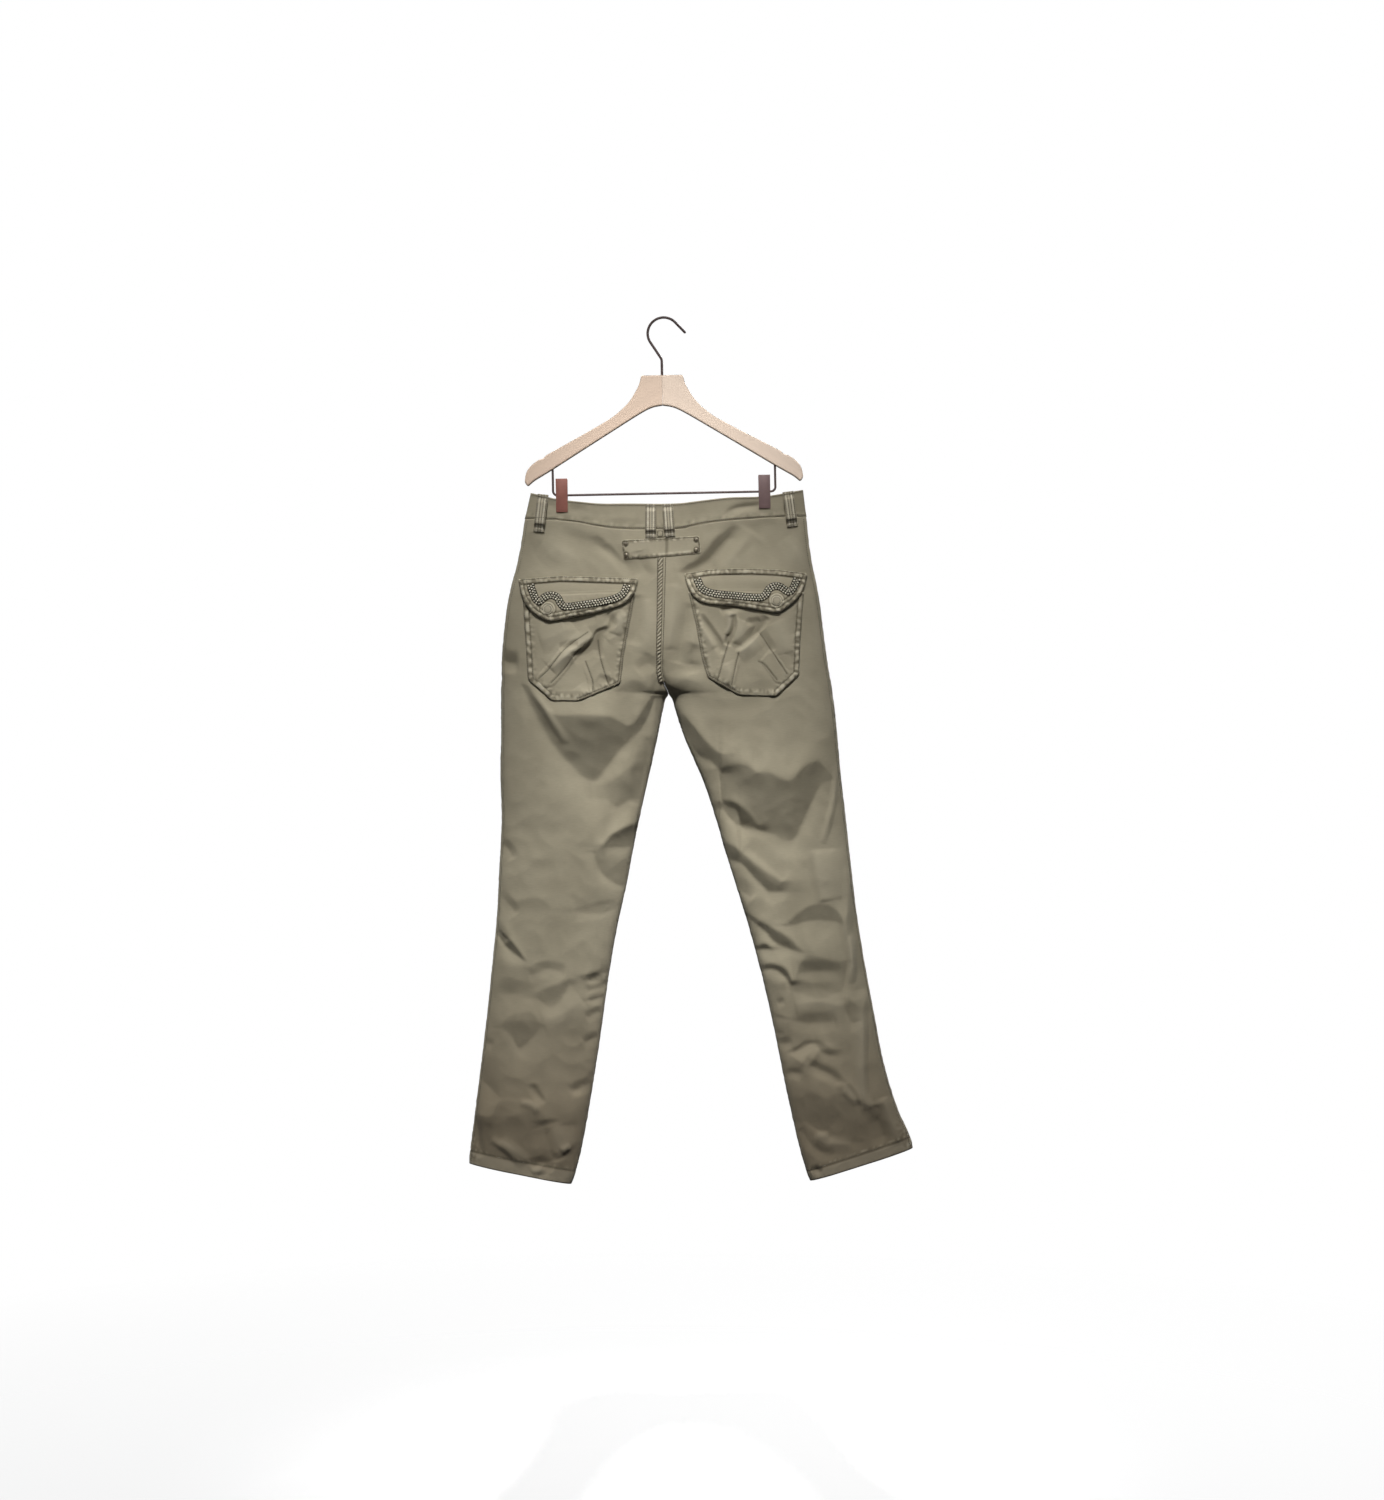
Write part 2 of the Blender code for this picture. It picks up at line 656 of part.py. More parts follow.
def joined_rows(left_rows, right_rows):
    """Rows from side seam to side seam, their centre on the centre seam."""
    rows = []
    for left, right in zip(left_rows, right_rows):
        rows.append(left[:-1] + [(left[-1] + right[-1]) / 2] + right[-2::-1])
    return rows


def whole_sheet(face, last_level):
    """Both panels of one face, down to the crotch at most."""
    grid = joined_rows(panel_grid("left", face, last_level), panel_grid("right", face, last_level))
    return Sheet(grid, grid_normals(grid, face), face, turned_from=CELLS[face])


# ---- the garment's pieces ---------------------------------------------------------------------

def leg_panel(side, face):
    grid = panel_grid(side, face)
    crotch_row = len(level_places(CROTCH_LEVEL, SPARING[face])) - 1
    normals = grid_normals(grid, face, SIDE_SIGN[side], crotch_row)
    hem_row = len(level_places(len(LEVELS) - 2, SPARING[face])) - 1
    inner = moved(grid, normals, lambda row: -HEM_WALL if row >= hem_row else -PANEL_WALL)
    return add_part(wall_object(FACE_NAME[face] + "_" + side, grid, inner), "cloth")


def band_rows(side, face):
    return [[band_point(side, face, row / WAIST_ROWS, share)
             for share in crowded_shares(CELLS[face])] for row in range(WAIST_ROWS, -1, -1)]


def waistband():
    """One piece across the back, and two halves that meet at the front's centre."""
    rows = joined_rows(band_rows("left", -1), band_rows("right", -1))
    inner = moved(rows, grid_normals(rows, -1), -BAND_WALL)
    add_part(wall_object("waistband_back", rows, inner, CELLS[-1]), "cloth")
    for side, side_sign in SIDE_SIGN.items():
        rows = band_rows(side, 1)
        inner = moved(rows, grid_normals(rows, 1, side_sign), -BAND_WALL)
        add_part(wall_object("waistband_front_" + side, rows, inner), "cloth")


def belt_loop(name, face, top_x, top_z, bottom_x, bottom_z):
    """A strap sewn down at both ends, with room for a belt between."""
    top, bottom = Vector((top_x, top_z)), Vector((bottom_x, bottom_z))
    down = (bottom - top).normalized()
    sideways = Vector((-down.y, down.x)) * LOOP_WIDTH / 2
    outer, inner = [], []
    for step in range(LOOP_CELLS + 1):
        share = step / LOOP_CELLS
        rise = smooth_step((min(share, 1 - share) - LOOP_SEWN) / LOOP_SEWN)
        stands = mix(LOOP_SEATED[face], LOOP_STANDS, rise)
        middle = top.lerp(bottom, share)
        cloth_off = max(face * cloth_point(face, *(middle + sideways * across)).y
                        for across in (-1, 0, 1))
        for line, off in ((inner, stands), (outer, stands + LOOP_WALL)):
            line.append([Vector((place.x, face * (cloth_off + off), place.y))
                         for place in (middle - sideways, middle + sideways)])
    return add_part(wall_object(name, outer, inner), "cloth_light")


def pocket_and_flap(side):
    """A patch pocket with raised stitched lines, and the flap that buttons down over it."""
    sheet = side_sheet(side, -1, CROTCH_LEVEL + 4)
    pocket = sheet.piece("pocket_" + side, rounded_outline(POCKET[side]), POCKET_LAYER)
    for number, (line, width) in enumerate(POCKET_RIDGES[side], 1):
        ridge = sheet.piece(f"pocket_{side}_ridge_{number}", strip_outline(line, width),
                            RIDGE_LAYER)
        combine(pocket, add_cutter(ridge), "UNION")
    add_part(pocket, "cloth")
    flap = sheet.piece("flap_" + side, rounded_outline(FLAP[side]), FLAP_LAYER)
    room = sheet.piece(f"flap_{side}_room", rounded_outline(grown(POCKET[side], CLEAR_MARGIN)),
                       (-1, FLAP_CLEARS))
    combine(flap, add_cutter(room), "DIFFERENCE")
    add_part(flap, "cloth")


def flat_pieces():
    """The tab, the seam band and the bridge on the back, and the fly placket on the front."""
    back = whole_sheet(-1, CROTCH_LEVEL)
    add_part(back.piece("back_tab", rounded_outline(TAB), TAB_LAYER), "cloth_light")
    add_part(back.piece("seam_band", rounded_outline(SEAM_BAND), BAND_LAYER), "cloth_light")
    add_part(back.piece("loop_bridge", rounded_outline(BRIDGE), BRIDGE_LAYER), "cloth")
    front = side_sheet("left", 1, CROTCH_LEVEL)
    add_part(front.piece("fly_placket", rounded_outline(FLY), FLY_LAYER), "cloth")


def set_on_cloth(part, face, x, z, off):
    """Turn a piece's own +Z out of the cloth and seat its base this far off the cloth."""
    normal = cloth_normal(face, x, z)
    part.location = (cloth_point(face, x, z) + normal * off) * MM
    part.rotation_euler = normal.to_track_quat("Z", "Y").to_euler()


def button(name, radius, face, place, off, finish):
    """A round button with softened edges, its base at its own origin."""
    mesh = bmesh.new()
    bmesh.ops.create_cone(mesh, cap_ends=True, segments=20, radius1=radius * MM,
                          radius2=radius * MM, depth=BUTTON_HEIGHT * MM,
                          matrix=Matrix.Translation((0, 0, BUTTON_HEIGHT / 2 * MM)))
    part = object_from(name, mesh)
    bevel = part.modifiers.new("edge", "BEVEL")
    bevel.width = BUTTON_EDGE * MM
    bevel.segments = 2
    bevel.limit_method = "ANGLE"
    set_on_cloth(part, face, *place, off)
    return add_part(part, finish)


def stud(name, place):
    """A domed rivet head."""
    mesh = bmesh.new()
    bmesh.ops.create_uvsphere(mesh, u_segments=12, v_segments=8, radius=1)
    cut = bmesh.ops.bisect_plane(mesh, geom=mesh.verts[:] + mesh.edges[:] + mesh.faces[:],
                                 plane_co=(0, 0, 0.02), plane_no=(0, 0, 1), clear_inner=True)
    rim = [item for item in cut["geom_cut"] if isinstance(item, bmesh.types.BMEdge)]
    bmesh.ops.holes_fill(mesh, edges=rim)
    bmesh.ops.scale(mesh, verts=mesh.verts,
                    vec=(STUD_RADIUS * MM, STUD_RADIUS * MM, STUD_HEIGHT * MM))
    part = object_from(name, mesh)
    set_on_cloth(part, -1, *place, TAB_LAYER[1] + SEAT_GAP)
    return add_part(part, "stud_metal")


# ---- the hanger -------------------------------------------------------------------------------

def hang(part):
    """Place a piece that is modelled in the hanger's frame."""
    part.parent = hanger
    return part


def hanger_frame():
    """The frame hangs a little askew, with the hook's inside top at the origin."""
    frame = bpy.data.objects.new("hanger_frame", None)
    turn = Matrix.Rotation(-HANGER_TILT, 3, "Y")
    hook_centre = turn @ Vector((HOOK_CENTRE[0], 0, HOOK_CENTRE[1]))
    frame.location = (Vector((0, 0, WIRE_HOOK - HOOK_RADIUS)) - hook_centre) * MM
    frame.rotation_euler.y = -HANGER_TILT
    return frame


def wire(name, points, radius):
    """Round wire through points in the hanger's frame, x and z."""
    curve = bpy.data.curves.new(name, "CURVE")
    curve.dimensions = "3D"
    curve.bevel_depth = radius * MM
    curve.bevel_resolution = 2
    curve.use_fill_caps = True
    spline = curve.splines.new("POLY")
    spline.points.add(len(points) - 1)
    for control, (x, z) in zip(spline.points, points):
        control.co = (x * MM, 0, z * MM, 1)
    return bpy.data.objects.new(name, curve)


def arc(centre, radius, start, end, steps):
    return [(centre[0] + radius * math.cos(mix(start, end, step / steps)),
             centre[1] + radius * math.sin(mix(start, end, step / steps)))
            for step in range(steps + 1)]


def hook_points():
    """Shank, bend, the long arc over the rail, and the straight tip."""
    over = arc(HOOK_CENTRE, HOOK_RADIUS, HOOK_LEAVES, HOOK_ARRIVES, 16)
    shank = [(0, SHANK_END_Z), (0, HOOK_BEND_Z - 3), (-1, HOOK_BEND_Z + 1)]
    return shank + over + [HOOK_TIP]


def bar_points():
    """Down out of one arm, along under both, and up into the other."""
    left = arc((-BAR_HALF + BAR_BEND, BAR_Z + BAR_BEND), BAR_BEND, math.pi, 1.5 * math.pi, 5)
    right = arc((BAR_HALF - BAR_BEND, BAR_Z + BAR_BEND), BAR_BEND, 1.5 * math.pi, 2 * math.pi, 5)
    return [(-BAR_HALF, BAR_TOP_Z)] + left + right + [(BAR_HALF, BAR_TOP_Z)]


def hole_cutter(name, x, z_low, z_high, wire_radius):
    mesh = bmesh.new()
    radius = (wire_radius + WIRE_CLEARANCE) * MM
    middle = Matrix.Translation((x * MM, 0, (z_low + z_high) / 2 * MM))
    bmesh.ops.create_cone(mesh, cap_ends=True, segments=16, radius1=radius, radius2=radius,
                          depth=(z_high - z_low) * MM, matrix=middle)
    return hang(add_cutter(object_from(name, mesh)))


def wooden_arms():
    """Both arms share one rounded outline, cut apart at the neck."""
    neck_top, neck_bottom = ARM_NECK_Z
    half = [(0, neck_top, 0)] + list(ARM_OUTLINE) + [(0, neck_bottom, 0)]
    right = rounded_outline(half)
    outline = right + [Vector((-point.x, point.y)) for point in reversed(right[1:-1])]
    far_x, top_z, low_z = 300, -60, -300
    for side, sign in SIDE_SIGN.items():
        name = "arm_" + side
        arm = prism(name, outline, -WOOD_THICKNESS / 2, WOOD_THICKNESS / 2)
        bevel = arm.modifiers.new("edge", "BEVEL")
        bevel.width = WOOD_EDGE * MM
        bevel.segments = 2
        bevel.limit_method = "ANGLE"
        bevel.angle_limit = math.radians(60)
        near_x = sign * GAP / 2
        other_half = [(near_x, low_z), (-sign * far_x, low_z), (-sign * far_x, top_z),
                      (near_x, top_z)]
        parting = prism(name + "_parting", other_half, -WOOD_THICKNESS, WOOD_THICKNESS)
        combine(arm, hang(add_cutter(parting)), "DIFFERENCE")
        combine(arm, hole_cutter(name + "_shank_hole", 0, SHANK_END_Z - 2, top_z, WIRE_HOOK),
                "DIFFERENCE")
        combine(arm, hole_cutter(name + "_bar_hole", sign * BAR_HALF, -250, BAR_TOP_Z + 1,
                                 WIRE_BAR), "DIFFERENCE")
        hang(add_part(arm, "beech"))


def clip(side, x):
    """Two sheet jaws on a spring barrel that runs on the bar."""
    heights = (CLIP_TIP_Z, CLIP_GRIP_Z, CLIP_TOP_Z)
    inner = (CLIP_INNER, CLIP_INNER, CLIP_INNER + CLIP_SPLAY)
    for jaw, face in (("back", -1), ("front", 1)):
        mesh = bmesh.new()
        lines = [[mesh.verts.new((end * CLIP_WIDTH / 2 * MM, face * off * MM, z * MM))
                  for off, z in zip(inner, heights)] for end in (-1, 1)]
        for row in range(len(heights) - 1):
            mesh.faces.new((lines[0][row], lines[1][row], lines[1][row + 1], lines[0][row + 1]))
        plate = object_from(f"clip_{side}_{jaw}_jaw", mesh)
        solid = plate.modifiers.new("plate", "SOLIDIFY")
        solid.thickness = CLIP_PLATE * MM
        solid.offset = 1 if plate.data.polygons[0].normal.y * face > 0 else -1
        plate.location.x = x * MM
        hang(add_part(plate, "clip_metal"))
    mesh = bmesh.new()
    bmesh.ops.create_cone(mesh, cap_ends=False, segments=16, radius1=BARREL_RADIUS * MM,
                          radius2=BARREL_RADIUS * MM, depth=BARREL_LENGTH * MM,
                          matrix=Matrix.Rotation(math.pi / 2, 4, "Y"))
    barrel = object_from(f"clip_{side}_barrel", mesh)
    wall = barrel.modifiers.new("wall", "SOLIDIFY")
    wall.thickness = (BARREL_RADIUS - WIRE_BAR - WIRE_CLEARANCE) * MM
    wall.offset = -1
    barrel.location = (x * MM, 0, BAR_Z * MM)
    hang(add_part(barrel, "clip_metal"))


def build_hanger():
    wooden_arms()
    hang(add_part(wire("hook", hook_points(), WIRE_HOOK), "dark_wire"))
    hang(add_part(wire("trouser_bar", bar_points(), WIRE_BAR), "dark_wire"))
    for side, x in zip(SIDE_SIGN, CLIP_X):
        clip(side, x)


def build_trousers():
    for side in SIDE_SIGN:
        for face in FACE_NAME:
            leg_panel(side, face)
        pocket_and_flap(side)
    waistband()
    flat_pieces()
    for loop in LOOPS:
        belt_loop(*loop)
    for number, place in enumerate(STUDS, 1):
        stud(f"tab_stud_{number}", place)
    for side, place in FLAP_BUTTONS.items():
        button("flap_button_" + side, FLAP_BUTTON_RADIUS, -1, place, FLAP_LAYER[1] + SEAT_GAP,
               "cloth_light")
    button("waist_button", WAIST_BUTTON_RADIUS, 1, WAIST_BUTTON, SEAT_GAP, "stud_metal")


clear_scene()
model = new_collection("cargo_trousers")
cutters = new_collection("cutters")
hanger = hanger_frame()
model.objects.link(hanger)
build_hanger()
build_trousers()
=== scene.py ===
"""Cargo trousers on a clip hanger: cloth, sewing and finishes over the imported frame.

Sizes are in millimetres in the frame's axes, and MM turns them into metres. The back of the
trousers faces -Y, x runs towards the wearer's right and z up from the inside top of the hook.
Positions on the cloth are an x and a z, as seen from straight behind.
"""

import math

import bmesh
import bpy
import numpy as np
from mathutils import Matrix, Vector, noise
from mathutils.bvhtree import BVHTree
from mathutils.geometry import delaunay_2d_cdt


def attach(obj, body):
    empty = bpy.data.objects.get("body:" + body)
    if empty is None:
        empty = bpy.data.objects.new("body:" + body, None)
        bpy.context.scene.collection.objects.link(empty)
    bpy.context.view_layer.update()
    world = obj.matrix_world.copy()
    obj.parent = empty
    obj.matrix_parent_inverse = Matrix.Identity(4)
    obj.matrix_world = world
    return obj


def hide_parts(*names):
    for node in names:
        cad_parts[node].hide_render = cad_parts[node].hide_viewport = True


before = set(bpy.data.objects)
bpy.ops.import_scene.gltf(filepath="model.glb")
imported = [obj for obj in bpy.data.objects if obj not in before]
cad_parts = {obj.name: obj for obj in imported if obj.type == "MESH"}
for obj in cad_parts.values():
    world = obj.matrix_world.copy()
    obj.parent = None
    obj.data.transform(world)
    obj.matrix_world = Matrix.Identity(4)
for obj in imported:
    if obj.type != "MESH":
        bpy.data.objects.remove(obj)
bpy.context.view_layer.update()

MM = 0.001
BODY = "root"

# ---- the garment's form, as it was modelled in the frame -----------------------------------------
# Outlines from behind, a row for each level: x and z of the side seam, then x and z of the inner
# edge, which is the centre seam down to the crotch and the inseam below it.
SIDE_OUTLINE = {
    "left": (
        (-215, -310.5, -3, -327.5), (-225, -371, -3, -374), (-240, -431, -3, -436),
        (-248, -490, -4, -498), (-251, -533, -3, -541), (-251, -558, 0.5, -564),
        (-252, -575, 7.4, -581), (-252, -583, 3, -589), (-252, -600, -1, -605),
        (-252, -619, -5, -625), (-252, -648, -11, -656), (-253, -707, -25, -718),
        (-251, -767, -39, -781), (-252, -805, -47, -820), (-255, -857, -57, -874),
        (-259, -932, -74, -953), (-266, -1003, -86, -1025), (-274, -1081, -97, -1104),
        (-284, -1164, -110, -1189), (-294, -1242, -124, -1270), (-299, -1282, -134, -1313),
        (-301, -1308, -143, -1340),
    ),
    "right": (
        (221, -307, -3, -327.5), (228, -368, -3, -374), (240, -428, -3, -436),
        (248, -488, -4, -498), (254, -533, -3, -541), (258, -556, 0.5, -564),
        (261, -574, 7.4, -581), (262, -583, 13, -589), (264, -597, 18, -605),
        (266, -614, 24, -625), (269, -643, 35, -656), (274, -701, 62, -718),
        (281, -763, 83, -781), (285, -800, 94, -820), (291, -853, 111, -874),
        (300, -927, 135, -953), (311, -995, 154, -1025), (325, -1071, 172, -1104),
        (341, -1153, 189, -1189), (362, -1222, 207, -1270), (379, -1260, 219, -1313),
        (386, -1284, 227, -1335),
    ),
}
# For the same levels: how far the back and the front stand off the seam plane
DEPTHS = (
    (11, 9), (17, 12), (25, 17), (30, 21), (33, 23), (34, 24), (34, 25), (34, 26), (34, 26),
    (34, 27), (33, 28), (31, 28), (29, 27), (28, 26), (27, 25), (26, 24), (25, 23), (24, 22),
    (23, 21), (22, 20), (22, 20), (22, 20),
)
LAST_LEVEL = 21
CROTCH_LEVEL = 6
CROTCH_Z = -581
RISE_CURVE_Z = -500       # the centre seams start to curve under here
HIP_SQUARENESS = 3.0      # exponents of the rounded section
LEG_SQUARENESS = 2.3
RISE_ROUNDING = 0.7       # how fully the section closes under the rise
SEAM_GAP = 0.3

# Waistband, a row for each station: share across from the side seam, x and z of the top edge, z of
# its bottom seam
WAIST = {
    "left": (
        (0.00, -206, -270, -310.5), (0.21, -165, -279.5, -312), (0.40, -128, -284, -316.5),
        (0.55, -98, -287, -323), (0.73, -58, -287, -327), (1.00, -3, -287.5, -327.5),
    ),
    "right": (
        (0.00, 216, -265.3, -307), (0.27, 158, -275, -308.5), (0.52, 103, -277.5, -313),
        (0.72, 58, -282.5, -319), (0.87, 26, -286.5, -326), (1.00, -3, -287.5, -327.5),
    ),
}
WAIST_TOP_DEPTH = (9, 8)  # back and front
FRONT_DROP = 14           # the front's waist is lower at the centre
DROP_END_Z = -430

CLIP_X = (-158.8, 155.2)
PINCH_HALF = 3.0          # the waist's half depth in the jaws
PINCH_REACH = 45
PINCH_TOP_Z = -304
PINCH_BOTTOM_Z = -415

BACK, FRONT = -1, 1
SIDE_SIGN = {"left": -1, "right": 1}
FACE_NAME = {BACK: "back", FRONT: "front"}

# Folds of each panel. A row has the fold's height, how far it spreads to the left and to the right
# of its line as one looks along it, and the line's points, which it is drawn smoothly through. A
# negative height is a trough.
FOLDS = {
    "back_left": (
        (3.5, 3, 3, (-201, -579), (-184, -602), (-166, -632), (-150, -658)),
        (-3.0, 3, 3, (-257, -676), (-247, -681)),
        (-1.2, 3, 3, (-141, -1194), (-127, -1194)),
        (2.2, 3, 4, (-221, -1212), (-205, -1214), (-191, -1224)),
        (-3.2, 3, 4, (-202, -1184), (-195, -1198), (-184, -1212)),
        (-3.0, 3, 5, (-293, -1232), (-289, -1243), (-284, -1280), (-282, -1297)),
        (2.4, 4, 3, (-266, -1269), (-241, -1285), (-223, -1306)),
        (2.2, 3, 3, (-159, -1287), (-143, -1280)),
        (3.0, 3, 4, (-202, -1320), (-184, -1311)),
        (-2.9, 8, 12, (-212, -335), (-192, -374), (-168, -395)),
        (2.6, 12, 10, (-184, -343), (-158, -361), (-127, -377)),
        (-2.2, 6, 12, (-161, -332), (-114, -344), (-65, -344)),
        (-4.5, 7, 7, (-89, -351), (-65, -374), (-43, -403)),
        (-3.2, 6, 8, (-37, -361), (-31, -386), (-15, -403)),
        (-4.2, 6, 9, (-41, -430), (-40, -467), (-43, -506)),
        (2.9, 10, 10, (-24, -436), (-21, -482), (-29, -521)),
        (-2.9, 6, 7, (-40, -547), (-24, -535), (-12, -544)),
        (2.0, 12, 9, (-72, -578), (-46, -560), (-18, -575)),
        (-1.7, 7, 5, (-75, -580), (-46, -575), (-18, -583)),
        (-8.0, 9, 8, (-257, -524), (-241, -533), (-224, -535)),
        (-4.1, 14, 8, (-18, -650), (-31, -699), (-41, -754)),
        (-2.7, 10, 14, (-58, -896), (-96, -905), (-139, -915)),
        (-3.5, 5, 8, (-255, -812), (-241, -820), (-232, -836)),
        (-2.7, 5, 7, (-255, -891), (-241, -904), (-227, -921)),
        (-3.5, 5, 6, (-261, -941), (-251, -950), (-241, -963)),
        (-2.7, 6, 10, (-207, -1017), (-179, -1006), (-151, -1012)),
        (3.0, 12, 14, (-187, -1087), (-155, -1074), (-127, -1053)),
        (-2.4, 4, 5, (-117, -1025), (-102, -1017), (-80, -1008)),
        (-2.4, 4, 5, (-120, -1040), (-102, -1037), (-83, -1031)),
        (-2.7, 4, 5, (-117, -1056), (-102, -1051), (-86, -1048)),
        (-2.2, 4, 5, (-120, -1081), (-105, -1074), (-91, -1073)),
        (-2.7, 5, 6, (-124, -1121), (-108, -1113), (-96, -1112)),
        (-3.0, 5, 6, (-145, -1195), (-130, -1189), (-111, -1184)),
        (-2.2, 4, 5, (-288, -1127), (-275, -1121), (-263, -1124)),
        (3.0, 16, 18, (-173, -1245), (-164, -1273), (-151, -1291)),
        (-3.4, 9, 9, (-184, -1239), (-179, -1273), (-167, -1304)),
        (-3.5, 6, 5, (-203, -1313), (-187, -1307), (-173, -1319)),
        (2.7, 5, 7, (-251, -1270), (-230, -1285), (-210, -1304)),
    ),
    "back_right": (
        (3.0, 3, 3, (269, -686), (263, -743), (253, -783), (245, -812)),
        (3.2, 3, 4, (290, -955), (291, -992), (291, -1028)),
        (4.3, 4, 7, (315, -1042), (308, -1067), (307, -1117), (307, -1178), (310, -1204),
         (330, -1237)),
        (3.0, 3, 4, (268, -1180), (285, -1196), (301, -1212)),
        (-1.4, 3, 3, (187, -1056), (175, -1060)),
        (-1.2, 3, 3, (171, -1106), (186, -1108)),
        (-3.5, 3, 4, (228, -1320), (236, -1317), (245, -1320)),
        (2.4, 3, 4, (236, -1262), (255, -1264)),
        (-7.4, 12, 12, (115, -323), (90, -355), (66, -380), (27, -400)),
        (4.2, 14, 12, (137, -329), (115, -361), (81, -389)),
        (-2.6, 8, 8, (145, -343), (129, -358), (111, -375)),
        (-1.9, 8, 12, (56, -332), (118, -324), (173, -318)),
        (-3.8, 8, 8, (42, -444), (31, -490), (22, -535)),
        (3.5, 10, 9, (53, -454), (44, -498), (41, -535)),
        (-3.8, 8, 8, (50, -507), (41, -526), (47, -550)),
        (-1.2, 9, 6, (4, -550), (25, -543), (56, -552)),
        (1.0, 10, 12, (7, -561), (31, -558), (59, -566)),
        (3.8, 9, 9, (19, -413), (14, -459), (11, -513)),
        (2.9, 6, 14, (190, -340), (205, -361), (217, -392)),
        (-3.2, 3, 3, (216, -315), (224, -368), (238, -436), (250, -498)),
        (3.2, 4, 8, (230, -420), (242, -475), (248, -521)),
        (-3.2, 10, 8, (128, -817), (155, -839), (186, -867)),
        (-3.2, 8, 6, (109, -873), (124, -888), (137, -898)),
        (-3.0, 9, 8, (205, -1012), (236, -1009), (273, -1009)),
        (4.1, 26, 5, (235, -823), (238, -857), (247, -902)),
        (3.2, 5, 5, (290, -839), (287, -870), (284, -904), (281, -940), (289, -975), (293, -1037)),
        (-3.0, 6, 6, (300, -901), (297, -940), (307, -986), (314, -1040)),
        (3.2, 9, 14, (202, -1062), (242, -1056), (283, -1068)),
        (-3.2, 8, 8, (196, -1084), (230, -1090), (267, -1084)),
        (-3.0, 5, 6, (152, -1115), (174, -1122), (199, -1121)),
        (-4.1, 5, 6, (216, -1149), (238, -1160), (261, -1172), (279, -1192)),
        (4.1, 8, 10, (338, -1205), (352, -1245), (363, -1276)),
        (-4.1, 9, 9, (323, -1217), (335, -1251), (345, -1279)),
        (2.7, 6, 7, (230, -1267), (255, -1274), (289, -1277)),
        (-2.7, 6, 6, (211, -1254), (233, -1282), (261, -1298)),
        (-2.4, 4, 5, (183, -1174), (199, -1167), (214, -1170)),
    ),
    "front_left": (
        (-2.4, 9, 9, (-60, -330), (-110, -352), (-190, -350)),
        (3.0, 14, 14, (-14, -520), (-60, -556), (-130, -560)),
        (-4.5, 12, 9, (-6, -560), (-60, -588), (-150, -596), (-225, -575)),
        (-4.0, 12, 10, (-2, -580), (-36, -622), (-80, -672), (-120, -700)),
        (5.5, 36, 30, (-40, -640), (-110, -668), (-190, -664), (-246, -640)),
        (-4.0, 16, 12, (-60, -706), (-130, -724), (-210, -716)),
        (-3.0, 9, 9, (-56, -850), (-96, -868), (-140, -866)),
        (4.5, 24, 16, (-70, -900), (-140, -916), (-220, -900)),
        (-4.5, 12, 8, (-76, -930), (-130, -952), (-196, -958)),
        (-3.6, 9, 12, (-250, -890), (-216, -930), (-180, -946)),
        (3.2, 12, 18, (-90, -985), (-160, -1008), (-240, -998)),
        (-2.6, 6, 7, (-98, -1060), (-120, -1054), (-138, -1056)),
        (-3.0, 10, 8, (-274, -1100), (-244, -1124), (-206, -1130)),
        (3.2, 20, 34, (-124, -1192), (-190, -1206), (-276, -1186)),
        (-2.4, 8, 8, (-150, -1246), (-200, -1262), (-250, -1250)),
    ),
    "front_right": (
        (-2.4, 9, 9, (60, -326), (112, -345), (190, -342)),
        (3.0, 14, 14, (20, -518), (76, -552), (150, -556)),
        (-4.5, 9, 12, (16, -566), (70, -594), (150, -604), (236, -580)),
        (-4.0, 10, 12, (26, -600), (60, -650), (100, -696), (140, -716)),
        (5.5, 30, 36, (60, -668), (130, -690), (210, -682), (266, -650)),
        (-4.0, 12, 16, (90, -730), (160, -748), (240, -738)),
        (-3.0, 9, 9, (114, -866), (150, -880), (196, -878)),
        (4.5, 16, 24, (136, -918), (200, -934), (280, -914)),
        (-4.5, 8, 12, (140, -950), (196, -970), (262, -972)),
        (-3.6, 12, 9, (296, -906), (262, -944), (226, -962)),
        (3.2, 18, 12, (160, -1012), (224, -1030), (300, -1018)),
        (-2.6, 7, 6, (178, -1090), (200, -1084), (220, -1086)),
        (-3.0, 8, 10, (330, -1110), (300, -1138), (262, -1146)),
        (3.2, 34, 20, (196, -1196), (262, -1212), (346, -1186)),
        (-2.4, 8, 8, (230, -1254), (280, -1262), (336, -1236)),
    ),
    "waistband_back": (
        (-2.4, 2, 4, (101, -306), (104, -299), (114, -294), (130, -291), (150, -289)),
        (-1.2, 3, 4, (-196, -283), (-170, -291), (-150, -296)),
        (1.0, 5, 5, (-90, -312), (-60, -308), (-34, -312)),
        (-1.6, 4, 5, (-146, -298), (-136, -295), (-122, -296)),
        (-2.0, 4, 6, (98, -306), (114, -294), (140, -291), (160, -290)),
        (1.2, 5, 4, (104, -310), (120, -300), (144, -298)),
        (-0.9, 9, 9, (-120, -300), (-84, -304), (-40, -306)),
        (-0.9, 9, 9, (22, -306), (60, -302), (90, -300)),
    ),
    "pocket_left": (
        (3.4, 10, 6, (-172, -545), (-150, -524), (-128, -506), (-108, -492)),
        (-3.6, 3, 7, (-140, -527), (-119, -515), (-104, -498), (-99, -489), (-83, -481),
         (-75, -465), (-67, -456)),
        (2.4, 7, 9, (-92, -494), (-76, -478), (-64, -458)),
        (-1.8, 3, 4, (-100, -489), (-99, -510), (-96, -526)),
        (-2.0, 4, 3, (-160, -513), (-146, -508), (-131, -506)),
        (-1.6, 4, 5, (-87, -458), (-80, -470), (-72, -478)),
        (1.8, 8, 8, (-75, -490), (-68, -470), (-60, -455)),
